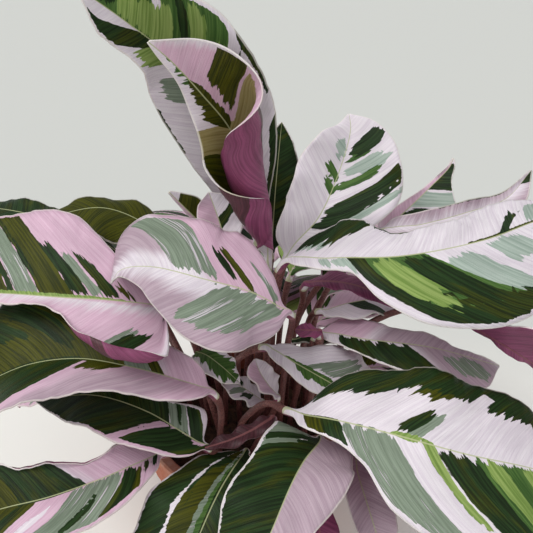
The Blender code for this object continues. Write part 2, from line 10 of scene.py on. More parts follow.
import bpy
import numpy as np
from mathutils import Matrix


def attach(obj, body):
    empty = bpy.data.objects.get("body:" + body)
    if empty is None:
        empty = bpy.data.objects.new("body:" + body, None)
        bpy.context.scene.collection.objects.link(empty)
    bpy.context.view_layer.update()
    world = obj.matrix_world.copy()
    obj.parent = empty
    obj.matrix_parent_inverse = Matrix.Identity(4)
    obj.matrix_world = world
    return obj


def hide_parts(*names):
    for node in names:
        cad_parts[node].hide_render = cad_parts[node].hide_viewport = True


MM = 0.001

# Camera: where the photograph was taken from
PHOTO_SIDE = 533
FOCAL_PIXELS = 696
SENSOR = 36.0
CAMERA_PLACE = (14, -324, 463)
CAMERA_DOWN = 35

# Sizes shared with the solids
SOIL_TOP = 104.0
SOIL_MOUND = 3.0
STALK_SUNK = 22.0
COLLAR_RISE = 2.0
UPRIGHT_START = 0.7
STALK_RADIUS = 1.9
KNEE_SWELL = 0.25
KNEE_LENGTH = 16.0
KNEE_EASE = 8.0
BLADE_THICKNESS = 0.8
RIB_DEPTH = 0.6
TIP_HALF_WIDTH = 0.8
NECK_HALF_WIDTH = 2.2
NECK_SHARE = 0.07
STATIONS = (0.12, 0.35, 0.6, 0.85)
PAST_ENDS = 0.01
ROLL_START = 0.7
WAVE_SEED = 11
CURVE_STEPS = 24
ARCH_WIDTHS = (0.55, 1.0, 0.95, 0.5)
ARCH_CURL = (-25, -25)

# Fineness of the dressed leaves, and how even their rows and columns are spaced
ROW_LENGTH = 1.8
LEAST_ROWS = 36
EVEN_ROWS = 0.6
STALK_ROWS = 22
STALK_STEPS = 200
ACROSS = 12
EVEN_COLUMNS = 0.85
HALF_STEPS = 60

# Relief of a blade: pleats between the veins, which fade at the midrib and the margin, and a crinkled edge
PLEAT_LENGTH = 7.5
PLEAT_HEIGHT = 0.16
PLEAT_FADE = 1.1
CRINKLE = 0.35
CRINKLE_LENGTH = 13.0
SMALL_CRINKLE = 0.6
SMALL_CRINKLE_LENGTH = 0.57 * CRINKLE_LENGTH

# Veins leave the midrib forwards: this far per millimetre out, and per square millimetre
VEIN_LEAN = 0.7
VEIN_BEND = 0.008

# A millimetre along the midrib is this far square across the leaning veins
ACROSS_VEINS = 0.82

# Depth in millimetres inside a marking: with no border near, and at the midrib where it starts there
FAR = 100.0
AT_MIDRIB = 9.0
ON_MIDRIB = 1e-6

# A marking's ends are firm near the midrib and the margin; elsewhere noise frays them. It wobbles the sides
FIRM = 5.0
FIRM_START = 0.8
FIRM_MARGIN = 0.88
FIRM_MIDRIB = 0.15
FINGERS = 17.0
WOBBLE = 5.0

# How round a marking's corners are, and how its depth turns into colour
CORNER = 6.0
CLEAN_EDGE = (-0.15, 0.2)
SOFT_CORNER = 8.0
SOFT_EDGE = (-3.0, 7.0, 0.0, 0.95)

# Half width of the pale midrib
MIDRIB_AT_NECK = 0.5
MIDRIB_AT_TIP = 0.25

# Bands drawn at random for the leaves at the back, as shares of the blade's length and of its half width
MARKING_SEED = 1100
# Olive bands carry partly painted light, as where light shines through a blade.
BAND_TONES = ["dark", "mid", "sage", "olive", "dark", "light"]
FIRST_BAND = -0.1
LAST_BAND = 0.85
BAND_WIDTH = (0.05, 0.16)
BAND_FANNING = 1.15
BAND_GAP = (0.0, 0.07)
BAND_START = (0.02, 0.15)
BAND_END = (0.6, 1.0)
FARTHEST_END = 0.96
PINK_LOW = -0.2
PINK_HIGH = (0.2, 0.9)


@dataclass
class Leaf:
    """One leaf: a stalk from its root to the neck, then a blade along the midrib, neck to tip.

    Widths are the two half blades at the stations, seen from the neck with the upper face up.
    Tilts raise a half from flat, curls bend it on the way out, and rolls turn its edge over.
    """

    name: str
    root: tuple
    midrib: list
    left: tuple
    right: tuple
    tilt: tuple = (15, 15)
    curl: tuple = (-10, -10)
    roll: tuple = (0, 0)
    face: tuple = (0, 0, 1)
    wave: float = 1.6
    waves: float = 3.0
    stalk: tuple = ()
    stations: tuple = STATIONS
    slot: str = "leaf_pale"
    flipped: bool = False


SHOWN_LEAVES = [
    Leaf("leaf_top_tall", (-1, 24), [(8, 38, 232), (-3, 34, 277), (-15, 28, 310), (-25, 20, 334),
         (-35, 10, 355),
         (-50, -4, 374), (-65, -20, 392)], (13, 21, 22, 20, 16, 13, 12), (12, 32, 39, 40, 34, 22, 10),
         stations=(0.12, 0.35, 0.5, 0.6, 0.7, 0.8, 0.9), tilt=(10, 20), curl=(0, 0), face=(-0.2, -0.8, 0.6)),
    Leaf("leaf_top_rolled", (4, 10), [(15, 8, 234), (13, 10, 256), (5, 10, 285), (-4, 6, 316),
         (-17, -1, 338),
         (-29, -12, 358), (-37, -22, 370)], (5, 18, 34, 46, 42, 30, 24, 19, 14, 9, 5, 3),
         (5, 16, 27, 38, 46, 50, 54, 58, 59, 52, 34, 11),
         stations=(0.05, 0.12, 0.2, 0.3, 0.38, 0.46, 0.54, 0.6, 0.66, 0.73, 0.82, 0.93),
         tilt=((10, 5, 0, 0, 0, 5, 12, 14, 14, 10, 8, 0),
         (5, 0, -5, -5, -5, -10, -20, -30, -30, -18, -12, -10)),
         curl=((60, 180, 225, 240, 190, 110, 60, 40, 25, 10, 0, 0),
               (90, 240, 275, 280, 280, 278, 275, 262, 232, 142, 85, 40)),
         face=(-0.15, -0.9, 0.45), wave=0),
    Leaf("leaf_back_white", (16, 14), [(26, 24, 226), (45, 34, 248), (56, 48, 267), (64, 62, 292),
         (63, 67, 300)],
         (16, 24, 26, 18), (13, 28, 40, 29), tilt=(24, 15), face=(-0.1, -0.9, 0.5)),
    Leaf("leaf_back_slim", (8, 28), [(17, 46, 216), (19, 50, 253), (21, 57, 276), (23, 64, 296)],
         (5, 8, 10, 9), (8, 13, 14, 9), tilt=(20, 20), curl=(0, 0), face=(0.2, -0.9, 0.4), waves=2,
         slot="leaf_green"),
    Leaf("leaf_back_right", (40, 14), [(86, 52, 224), (105, 60, 240), (119, 68, 251), (130, 73, 262),
         (132, 75, 267)],
         (8, 6, 3, 2), (13, 19, 25, 6), tilt=(10, 10), curl=(0, 0), face=(0, -0.6, 0.8),
         stalk=((50, 25, 196),)),
    Leaf("leaf_back_lilac", (27, 17), [(82, 26, 243), (106, 29, 246), (137, 42, 247), (164, 56, 249),
         (180, 68, 262)],
         (7, 8, 7, 4), (14, 17, 17, 10), tilt=(30, 20), curl=(0, 0), face=(0, -0.3, 1),
         stalk=((37, 20, 190),)),
    Leaf("leaf_right_large", (14, -6), [(23, -12, 246), (47, -27, 260), (81, -34, 266), (125, -20, 266),
         (166, 8, 262), (205, 35, 254)], (17, 27, 23, 20, 22, 27, 19), (7, 8, 25, 39, 46, 42, 22),
         stations=(0.08, 0.2, 0.28, 0.36, 0.52, 0.66, 0.85),
         tilt=((25, 22, 15, 8, 5, 5, 5), (-5, -10, -20, -24, -26, -24, -15)), curl=(-10, -15)),
    Leaf("leaf_right_under", (22, 6), [(37, 2, 222), (55, -7, 230), (72, -15, 230), (88, -21, 223)],
         (8, 10, 10, 8), (4, 5, 6, 5), tilt=(10, 0), curl=(-20, -20),
         stalk=((31, 14, 172), (36, 9, 205)), slot="leaf_purple", flipped=True),
    Leaf("leaf_right_edge", (36, -8), [(116, -23, 221), (132, -37, 218), (157, -47, 206), (185, -50, 182)],
         (3, 4, 4, 3), (14, 24, 32, 24), tilt=(0, 0), face=(0.1, 0.9, 0.4),
         stalk=((60, -16, 194), (92, -15, 217)), slot="leaf_purple"),
    Leaf("leaf_centre_pink", (22, -13), [(25, -42, 236), (8, -44, 250), (-17, -44, 259), (-45, -36, 261),
         (-60, -33, 257), (-67, -32, 248)], (25, 38, 24, 10, 3), (17, 37, 36, 38.5, 28), tilt=(-10, 20),
         curl=(-22, -10), stations=(0.12, 0.35, 0.6, 0.8, 0.93),
         stalk=((26, -14, 185), (28, -30, 222))),
    Leaf("leaf_left_upper", (-25, 0), [(-41, -26, 226), (-66, -33, 237), (-94, -34, 240), (-130, -24, 235),
         (-166, -7, 222)], (40, 52, 50, 34, 12, 7, 6),
         (8, 12, 21, 36, 46, 48, 45), tilt=(-8, 45), curl=(-5, -10),
         stations=(0.05, 0.12, 0.2, 0.3, 0.4, 0.5, 0.85), roll=((60, 130, 150, 120, 60, 0, 0), 0),
         stalk=((-30, -2, 178),)),
    Leaf("leaf_left_olive", (-16, 12), [(-42, 22, 233), (-60, 26, 250), (-80, 26, 259), (-98, 20, 260),
         (-113, 10, 258)], (16, 24, 26, 18),
         (10, 16, 13, 8), tilt=(0, 10), curl=(-20, -20), slot="leaf_green"),
    Leaf("leaf_left_far", (-28, 10), [(-78, 28, 226), (-112, 42, 238), (-145, 58, 238), (-178, 76, 230),
         (-205, 92, 216)], (14, 20, 18, 10),
         (12, 15, 14, 9), tilt=(0, 10), curl=(-20, -20), slot="leaf_green"),
    Leaf("leaf_centre_back", (-4, 2), [(-7, 8, 238), (-10, 12, 247), (-13, 17, 256), (-18.5, 22, 272)],
         (6, 10, 12, 9), (6, 12, 14, 12), tilt=(10, 10), curl=(0, 0), face=(-0.2, -0.6, 0.8)),
    Leaf("leaf_left_middle", (-16, -28), [(-15, -60, 196), (-33, -62, 208), (-57, -59, 214), (-84, -53, 214),
         (-112, -51, 208), (-141, -52, 194)], (15, 24, 36, 47), (13, 20, 30, 42), tilt=(15, 35)),
    Leaf("leaf_left_lower", (-8, -36), [(-19, -71, 166), (-33, -68, 176), (-51, -60, 182), (-81, -50, 184),
         (-117, -44, 174)], (16, 26, 25, 13), (17, 9, 9, 8), tilt=(10, 30), slot="leaf_green"),
    Leaf("leaf_front_left", (-24, -30), [(-44, -69, 158), (-58, -82, 164), (-72, -92, 166), (-97, -100, 162),
         (-124, -100, 152), (-149, -99, 138)], (12, 24, 30, 18), (13, 14, 22, 24), tilt=(5, 35),
         roll=(0, (20, 140, 140, 20))),
    Leaf("leaf_front_dark", (4, -30), [(17, -56, 172), (5, -66, 173), (-7, -72, 172), (-19, -74, 169)],
         (4, 5, 5, 3), (4, 5, 5, 4), tilt=(0, 10), slot="leaf_purple", flipped=True),
    Leaf("leaf_front_olive", (-2, -44), [(2, -61, 150), (-10, -88, 154), (-20, -110, 146), (-30, -129, 126)],
         (7, 12, 13, 8), (10, 24, 33, 33), tilt=(5, 25), curl=(-20, -20), slot="leaf_green"),
    Leaf("leaf_front_centre", (16, -36), [(43, -71, 172), (33, -92, 180), (26, -108, 182), (16, -129, 174),
         (4, -145, 152)], (21, 28, 21, 12),
         (25, 24, 27, 22), tilt=(20, 25), curl=(-20, -20), slot="leaf_green"),
    Leaf("leaf_front_right_large", (-2, -16), [(27, -70, 192), (50, -87, 204), (77, -102, 210),
         (106, -109, 206),
         (141, -108, 194), (174, -105, 176)], (22, 36, 40, 43, 44, 36), (8, 11, 18, 34, 44, 30),
         stations=(0.08, 0.2, 0.3, 0.4, 0.6, 0.85), tilt=((15,) * 6, (-5, -8, -16, -24, -24, -20)),
         curl=(-10, -10), stalk=((0, -37, 150), (14, -50, 178))),
    Leaf("leaf_right_middle", (-14, 0), [(14, -25, 197), (31, -40, 198), (56, -53, 191), (85, -56, 176)],
         (10, 23, 33, 30), (6, 10, 12, 8), tilt=(5, 5), stalk=((-9, -8, 160), (-1, -15, 181))),
    Leaf("leaf_right_low", (29, -5), [(44, -13, 196), (72, -29, 206), (104, -35, 206), (145, -35, 192)],
         (13, 12, 8, 4), (7, 14, 24, 22), tilt=(20, 0), stalk=((36, -15, 168), (40, -17, 184))),
    Leaf("leaf_front_shaded", (26, -24), [(62, -52, 150), (63, -83, 158), (68, -106, 152), (76, -124, 132)],
         (7, 13, 14, 10), (6, 8, 10, 7), tilt=(5, 5), curl=(-20, -20), slot="leaf_purple"),
    Leaf("leaf_front_curled", (8, -44), [(33, -62, 136), (39, -89, 140), (43, -106, 134), (47, -123, 116)],
         (6, 9, 10, 7), (5, 8, 10, 7), tilt=(20, 20), curl=(-20, -20), slot="leaf_purple", flipped=True),
    Leaf("leaf_young_green", (-16, -14), [(-27, -12, 180), (-22, -17, 184), (-12, -25, 182), (-2, -30, 174)],
         (7, 10, 9, 6), (7, 10, 12, 7)),
    Leaf("leaf_young_cream", (3, -5), [(11, -22, 150), (4, -22, 158), (-4, -21, 164), (-14, -19, 166)],
         (7, 12, 13, 8), (6, 8, 7, 5)),
    Leaf("leaf_young_lilac", (11, -16), [(20, -27, 160), (15, -26, 168), (10, -22, 175), (7, -16, 180)],
         (6, 9, 10, 7), (7, 9, 8, 6), tilt=(25, 25)),
    Leaf("leaf_right_dark", (13, 2), [(31, 2, 178), (45, 0, 185), (59, -1, 189), (71, -3, 187)],
         (4, 5, 5, 4), (5, 10, 13, 10), tilt=(10, 10), slot="leaf_green"),
    Leaf("leaf_right_small", (32, 7), [(47, -1, 204), (63, -3, 212), (80, 0, 212), (95, 3, 204)],
         (8, 12, 12, 9), (9, 15, 16, 10), tilt=(10, 10), stalk=((40, 14, 182), (43, 8, 196))),
    Leaf("leaf_bud", (-10, 20), [(-18, 28, 237), (-26, 28, 249), (-34, 28, 259), (-42, 28, 269)],
         (3, 3, 2, 1.5), (5, 10, 10, 5), tilt=(0, 0), curl=(-30, -30), wave=0, face=(-0.2, -0.8, 0.5)),
    Leaf("leaf_right_slip", (38, -17), [(43.5, -21, 205.5), (40, -22.5, 207.5), (36, -23, 208),
         (30.5, -21, 207)],
         (5, 6, 6, 4), (4, 6, 7, 5), tilt=(10, 10), wave=0.6, slot="leaf_purple", flipped=True),
]


@dataclass
class Arch:
    """A leaf that leans straight out from the crown and droops: its midrib follows from these sizes."""

    name: str
    azimuth: float
    root_out: float
    neck_out: float
    neck_up: float
    length: float
    rise: float
    droop: float
    half_width: float
    tilt: float = 20


HIDDEN_LEAVES = [
    Arch("leaf_rear_1", 36, 42, 64, 186, 128, 28, 58, 34),
    Arch("leaf_rear_2", 60, 41, 60, 192, 132, 28, 58, 35),
    Arch("leaf_rear_3", 86, 42, 62, 184, 126, 28, 58, 33),
    Arch("leaf_rear_4", 110, 41, 60, 192, 134, 28, 58, 36),
    Arch("leaf_rear_5", 134, 42, 62, 186, 128, 28, 58, 34),
    Arch("leaf_rear_6", 158, 42, 60, 180, 122, 26, 58, 32),
    Arch("leaf_low_1", 8, 49, 68, 142, 104, 20, 62, 30),
    Arch("leaf_low_2", 48, 49, 70, 146, 110, 22, 62, 31),
    Arch("leaf_low_3", 74, 49, 68, 140, 112, 20, 60, 31),
    Arch("leaf_low_4", 98, 49, 70, 146, 114, 22, 62, 32),
    Arch("leaf_low_5", 122, 49, 68, 140, 110, 20, 62, 31),
    Arch("leaf_low_6", 148, 49, 70, 146, 112, 22, 60, 32),
    Arch("leaf_low_7", 174, 49, 68, 142, 104, 20, 62, 30),
]


@dataclass
class Patch:
    """A marking on one half blade: a tone between two veins, read at its inner and at its outer end.

    Veins are shares of the blade's length where they leave the midrib; reach is the share across.
    A firm marking ends in a clean line; one that ends near the midrib or the margin is firm anyway.
    """

    tone: str
    side: str
    inner: tuple
    outer: tuple
    reach: tuple = (0, 1)
    firm: float = 1


# The photograph's markings by leaf, then by tone and sides. A row gives a band's low and high vein, where its
# reach starts and stops and, at will, how firm it is. A slanting band gives its veins at both ends first.
# Rows of the greyed pink tone paint shade; rows of khaki, and in part of olive, paint light shining through
# the blade.
MARKINGS = {
    "leaf_top_tall": {
        "mid R": [(.5, .96, .52, .96, 0, .93)],
        "dark R": [(.88, .96, .3, .93), (.64, .67, .66, .69, .3, .93), (.55, .58, .56, .59, 0, .6),
            (.44, .47, .45, .48, .55, .85), (.3, .5, .94, 1), (-.1, .24, .86, 1)],
        "light R": [(.69, .88, .7, .88, .02, .8), (.59, .645, .05, .85), (.51, .55, .1, .75)],
        "pale R": [(.73, .76, .74, .77, .6, 1)],
        "dark L": [(.71, .8, .8, .96, 0, .92), (.3, .48, .94, 1)],
        "light L": [(.66, .74, .68, .76, .05, .8)],
        "sage L": [(.51, .61, .05, .62)],
    },
    "leaf_top_rolled": {
        "pink R": [(.35, 1, 0, .8), (0, .5, .3, 1)],
        "olive R": [(.57, .73, .12, .88)],
        "khaki R": [(.38, .56, 0, .6)],
        "mid L": [(.68, .95, .72, .9, 0, .3)],
        "olive L": [(.56, .8, .6, .76, 0, .5), (.24, .44, 0, .96)],
        "khaki L": [(.44, .58, .42, .58, 0, 1), (.1, .25, 0, 1)],
    },
    "leaf_back_white": {
        "dark R": [(.69, .82, .7, .8, .12, .84), (.2, .38, .3, .47, .04, .97)],
        "mid R": [(.67, .72, .68, .74, .04, .5), (.49, .55, .49, .56, .04, .62)],
        "mist R": [(.57, .65, .58, .66, .08, .62), (.52, .6, .55, .6, .4, .85), (.2, .3, .22, .27, .5, 1)],
        "pale R": [(.26, .29, .34, .37, .6, 1)],
        "mid L": [(.48, .54, 0, .33), (.56, .63, 0, .38)],
        "mist L": [(.68, .85, .02, .3)],
    },
    "leaf_back_slim": {"dark LR": [(-.2, 1, 0, .98)], "mid R": [(.25, .36, .3, .9), (.5, .7, .4, .9)]},
    "leaf_back_right": {
        "pink L": [(0, 1, 0, 1)],
        "dark R": [(-.2, .38, .05, 1), (.62, .95, 0, .97)],
        "mist R": [(.4, .6, 0, .95)],
    },
    "leaf_back_lilac": {
        "dusk L": [(0, 1, .1, 1)],
        "dusk R": [(0, 1, .3, 1)],
        "dark L": [(.3, .9, .88, 1)],
        "dark R": [(.9, 1, 0, 1)],
    },
    "leaf_right_large": {
        "dark L": [(-.2, .13, -.2, .15, .45, .97), (.15, .3, .93, 1), (.6, .64, .66, .72, 0, .5)],
        "mist L": [(.72, .82, .74, .84, .05, .75), (.02, .1, .04, .12, .3, .6)],
        "olive L": [(.5, 1, 0, .05)],
        "mist R": [(.12, .2, .05, .8), (.39, .5, .12, .72), (.54, .66, .05, .4), (.7, .9, .1, .5)],
        "mid R": [(.2, .38, .21, .46, 0, .94)],
        "dark R": [(.19, .235, .2, .24, 0, .93), (.2, .46, .7, .94), (.31, .38, .32, .42, .03, .8)],
        "light R": [(.24, .262, .05, .8), (.255, .305, .255, .29, .02, .72), (.285, .31, .15, .55)],
    },
    "leaf_right_under": {"pink LR": [(0, 1, 0, 1)]},
    "leaf_right_edge": {"pink LR": [(0, 1, 0, 1)]},
    "leaf_centre_pink": {
        "pink R": [(-.2, .45, -.2, .5, 0, 1), (.6, 1, .6, 1)],
        "pink L": [(-.2, .14, -.2, .2, 0, 1)],
        "dusk L": [(-.2, 1, .3, 1)],
        "dusk R": [(.5, 1, .2, 1)],
        "sage R": [(.38, .62, .08, .92), (.05, .12, .1, .6)],
        "olive R": [(.2, .25, .02, .62)],
        "dark R": [(.265, .315, .1, .55)],
        "sage L": [(.03, .37, .03, .76)],
        "dark L": [(.8, 1, .93, 1)],
    },
    "leaf_left_upper": {
        "pink R": [(0, 1, 0, 1)],
        "pink L": [(-.2, 1, .1, 1)],
        "olive R": [(.12, .16, .13, .17, .08, .45), (.36, .5, .35, .5, 0, .97), (.64, 1, 0, .97)],
        "sage R": [(.24, .29, .25, .3, .03, .55), (.5, .61, 0, .95)],
        "mid R": [(.4, .43, .1, .8)],
        "dark R": [(.18, .24, .19, .24, .03, .55), (.29, .36, .3, .36, .05, .62), (.61, .65, 0, 1),
            (.47, .5, .2, .97)],
        "light R": [(.15, 1, 0, .045)],
        "sage L": [(-.02, .05, -.04, .04, .4, .8)],
        "dark L": [(-.08, .02, -.1, 0, .45, 1)],
    },
    "leaf_left_olive": {"olive LR": [(-.2, 1, 0, 1)]},
    "leaf_left_far": {"dark LR": [(-.2, 1, 0, .97)], "mid L": [(.3, .38, .05, .8), (.6, .68, .05, .8)]},
    "leaf_centre_back": {
        "pink L": [(0, 1, 0, 1)],
        "dark L": [(.2, .34, .1, .8)],
        "dark R": [(.42, .6, 0, .9)],
    },
    "leaf_left_middle": {
        "pink R": [(-.2, .22, 0, 1)],
        "pink L": [(-.2, 1, 0, 1)],
        "olive R": [(.21, .26, .22, .26, 0, .9), (.36, 1, 0, .98)],
        "sage R": [(.26, .37, .27, .37, 0, .9)],
        "dark R": [(.37, .46, .2, .98), (.52, .6, .5, .64, .25, .98), (.66, 1, .64, 1, .4, .98)],
        "mid R": [(.48, .52, 0, .6), (.61, .66, 0, .45), (.76, .82, 0, .6)],
        "olive L": [(.36, .5, 0, .3)],
        "dark L": [(.52, 1, .5, 1, 0, .94)],
        "dusk L": [(.1, .45, .3, 1)],
    },
    "leaf_left_lower": {
        "pink R": [(-.2, 0, 0, 1)],
        "sage R": [(.1, .22, 0, .93)],
        "dark R": [(.02, .11, 0, .93), (.14, .17, .1, .93), (.22, 1, 0, .95)],
        "mid R": [(.34, .44, .1, .9), (.62, .7, 0, .7)],
        "dark L": [(-.08, .21, -.06, .21, .03, .9), (.26, 1, 0, .95)],
        "mid L": [(.02, .07, .05, .6), (.5, .58, .1, .8)],
        "pink L": [(-.2, .4, 0, 1)],
    },
    "leaf_front_left": {
        "pink R": [(-.2, .36, -.2, .38, 0, 1)],
        "dark R": [(.37, .66, .39, .66, 0, .97)],
        "olive R": [(.5, .58, .05, .6), (.64, .95, 0, .97)],
        "pink L": [(-.2, .62, 0, 1)],
        "dark L": [(.02, .1, .1, .6), (.13, .2, .02, .9), (.27, .31, .28, .32, .25, .92),
            (.62, .68, .1, .9)],
        "olive L": [(.1, .14, .05, .9), (.58, 1, 0, .96)],
        "sage L": [(.2, .42, .02, .93)],
        "pale L": [(.46, .52, .47, .52, .3, .8)],
    },
    "leaf_front_dark": {"dark LR": [(-.2, 1, 0, 1)]},
    "leaf_front_olive": {
        "dark R": [(-.2, 1, .53, .97, 5), (.1, .2, .2, .6)],
        "olive R": [(-.2, 1, .2, .56, 5)],
        "sage R": [(-.2, 1, .08, .26, 4)],
        "mid R": [(-.2, 1, 0, .12)],
        "pale R": [(.1, 1, .52, .6, 4)],
        "dark L": [(-.2, 1, 0, .95)],
    },
    "leaf_front_centre": {
        "dark R": [(.12, 1, 0, .96), (-.2, 1, 0, .3), (.03, .09, .2, .96)],
        "sage R": [(-.2, .14, .25, .95)],
        "olive R": [(.45, 1, .55, .96)],
        "dusk L": [(-.2, 1, 0, 1)],
    },
    "leaf_front_right_large": {
        "dark L": [(-.2, .16, -.2, .18, .52, 1), (.14, .44, .68, 1), (.42, .52, .42, .54, .84, 1),
            (.5, .8, .62, 1), (.335, .385, .34, .39, .06, .4)],
        "olive L": [(.24, .36, .58, .9), (-.05, .08, .6, .95)],
        "sage L": [(.375, .43, .38, .42, .02, .42), (-.2, 0, .25, .5)],
        "light L": [(.34, .43, 0, .06)],
        "olive R": [(.05, .12, .06, .13, 0, .9)],
        "dark R": [(.11, .185, .12, .19, 0, .9), (.47, .58, .04, .97)],
        "sage R": [(.19, .355, .2, .36, .02, .93)],
        "light R": [(.43, .465, .43, .46, 0, .75), (.6, .66, .02, .8), (.72, .78, .02, .7)],
        "mid R": [(.57, .86, .03, .95)],
    },
    "leaf_right_middle": {
        "sage L": [(.3, .5, .32, .5, .1, .75), (.55, .62, .1, .7)],
        "mid L": [(.15, .5, 0, .1)],
        "mid R": [(.25, .6, 0, .5, 2)],
    },
    "leaf_right_low": {
        "pink L": [(-.2, .3, 0, 1)],
        "dark R": [(.12, .5, .13, .52, .05, .96)],
        "sage R": [(.62, .85, .15, .7)],
        "dusk R": [(.5, 1, 0, 1)],
        "dusk L": [(.3, 1, 0, 1)],
    },
    "leaf_front_shaded": {"dusk LR": [(-.2, 1, 0, 1)]},
    "leaf_front_curled": {},
    "leaf_young_green": {"mid LR": [(-.2, 1, 0, .75)]},
    "leaf_young_cream": {
        "dark L": [(.2, .4, .1, .8)],
        "sage L": [(.4, .6, .1, .8)],
        "dark R": [(.5, .7, .1, .8)],
    },
    "leaf_young_lilac": {"pink L": [(0, 1, 0, 1)]},
    "leaf_right_dark": {"dark LR": [(-.2, 1, 0, 1)]},
    "leaf_right_small": {"pink L": [(0, 1, 0, 1)], "dark R": [(.3, .5, 0, 1)]},
    "leaf_bud": {"pink L": [(0, 1, 0, 1)], "olive R": [(.1, .8, 0, 1)]},
    "leaf_right_slip": {},
}

# Tones in painting order, each as two colours that streak into each other (8-bit, as seen in daylight)
TONES = {
    "pink": ((222, 188, 207), (211, 172, 194)),
    "dusk": ((190, 168, 180), (172, 148, 162)),
    # Painted shade: a greyer, darker pink laid over pale parts of blades that lie in shade.
    "mist": ((180, 194, 184), (152, 170, 158)),
    "sage": ((140, 154, 136), (110, 124, 106)),
    # Painted light: a pale khaki for the rolled leaf's green markings, brightened as where light shines
    # through the blade.
    "khaki": ((170, 158, 108), (144, 130, 78)),
    "mid": ((86, 118, 58), (56, 88, 38)),
    # Olive-green markings, their colour partly painted light: brighter and yellower, as where light shines
    # through a blade.
    "olive": ((78, 80, 12), (46, 52, 8)),
    "dark": ((38, 62, 28), (20, 36, 12)),
    "light": ((150, 172, 98), (112, 140, 66)),
    "pale": ((236, 229, 235), (224, 214, 224)),
}
OLD_GREEN = ((62, 72, 18), (32, 40, 8))
BASE = ((236, 229, 235), (224, 214, 224))
SOFT = ("pink", "dusk")
GREENS = ("mist", "sage", "khaki", "mid", "olive", "dark", "light")
MIDRIB = (186, 192, 146)
MARGIN = (236, 230, 222)
UNDER_PALE = ((150, 76, 114), (122, 56, 90))
UNDER_GREEN = ((90, 50, 58), (66, 35, 40))
UNDER_RIB = (150, 96, 96)
STALK = ((142, 92, 86), (92, 50, 48))
CLAY = ((202, 128, 100), (182, 108, 82))
CLAY_SPECKLE = (214, 150, 120)
CLAY_BLOOM = (226, 204, 186)
EARTH = ((38, 24, 16), (84, 58, 40))
FLOOR_NEAR = (245, 244, 239)
FLOOR_AWAY = (208, 210, 206)

# Noises on a leaf: waves per millimetre across the veins and out along them, then detail and roughness
STREAKS = (0.7, 0.03, 3.0, 0.6)
FINE_STREAKS = (2.6, 0.06, 2.0, 0.6)
CLOUDS = (0.05, 0.05, 2.0, 0.5)
OLD_PATCHES = (0.12, 0.04, 4.0, 0.6)
FINGER_NOISE = (0.30, 0.025, 4.0, 0.6)
WOBBLE_NOISE = (0.16, 0.07, 4.0, 0.6)

# How far apart the leaves read their noises, and the spacing, drift and height of the fine vein lines
SEED_STEP = 7.3
VEIN_SPACING = 1.6
VEIN_DRIFT = 7.0
VEIN_RISE = 0.1

# Ramps: what is read from low to high, then what it gives
STREAK_SHARE = (0.36, 0.64)
OLD_SHARE = (0.46, 0.62)
SAGE_BREAKS = (0.60, 0.66, 0.0, 0.75)
UPPER_FINE = (0.3, 0.7, 0.94, 1.03)
UPPER_CLOUD = (0.3, 0.7, 0.92, 1.05)
UPPER_ROUGH = (0.3, 0.7, 0.4, 0.52)
MARGIN_SHARE = (0.3, 0.9, 0.6, 0.0)
MIDRIB_SHARE = (0.6, 1.25, 0.8, 0.0)
UNDER_FINE = (0.3, 0.7, 0.9, 1.06)
UNDER_CLOUD = (0.3, 0.7, 0.82, 1.1)
UNDER_RIB_SHARE = (1.0, 2.4, 0.7, 0.0)
STALK_MOTTLE = (0.35, 0.65)
STALK_BLOOM = (0.4, 0.65, 0.0, 0.6)
STALK_BLOOM_WAVES = 0.05
CLAY_SHARE = (0.35, 0.7)
SPECKLE_SHARE = (0.55, 0.75, 0.0, 0.35)
BLOOM_SHARE = (0.55, 0.72, 0.0, 0.45)
EARTH_SHARE = (0.35, 0.65)

# The floor turns from pale to grey behind the plant, in metres along a level direction
FLOOR_SIZE = 3.0
AWAY = (0.35, 1, 0)
AWAY_SHARE = (0.18, 0.34)

# Faces of the pot that meet at more than this stay crisp
SHARP_ANGLE = 35

# Daylight: a plain sky, and suns by name with azimuth, elevation, strength, width and colour
SKY = (0.97, 0.98, 1.0, 1)
SKY_STRENGTH = 0.36
SUNS = {
    "window": (188, 56, 1.85, 35, (1.0, 0.99, 0.97)),
    "room": (-70, 50, 0.8, 80, (1.0, 0.99, 0.98)),
}

# Order of a leaf's materials
UPPER_SLOT, UNDER_SLOT, STALK_SLOT = range(3)


def crown_direction(azimuth):
    turn = math.radians(azimuth)
    return np.array([math.cos(turn), math.sin(turn), 0.0])


def arching_leaf(arch):
    """The Leaf that an Arch describes, with four midrib points turned steadily from rise to droop."""
    outward = crown_direction(arch.azimuth)
    point = outward * arch.neck_out + (0, 0, arch.neck_up)
    midrib = [tuple(point)]
    for share in (1 / 6, 0.5, 5 / 6):
        lean = math.radians(arch.rise - share * (arch.rise + arch.droop))
        point = point + (outward * math.cos(lean) + np.array([0, 0, math.sin(lean)])) * arch.length / 3
        midrib.append(tuple(point))
    root = outward * arch.root_out
    widths = tuple(arch.half_width * share for share in ARCH_WIDTHS)
    return Leaf(arch.name, (root[0], root[1]), midrib, widths, widths, tilt=(arch.tilt, arch.tilt),
                curl=ARCH_CURL, slot="leaf_green")


def all_leaves():
    return SHOWN_LEAVES + [arching_leaf(arch) for arch in HIDDEN_LEAVES]


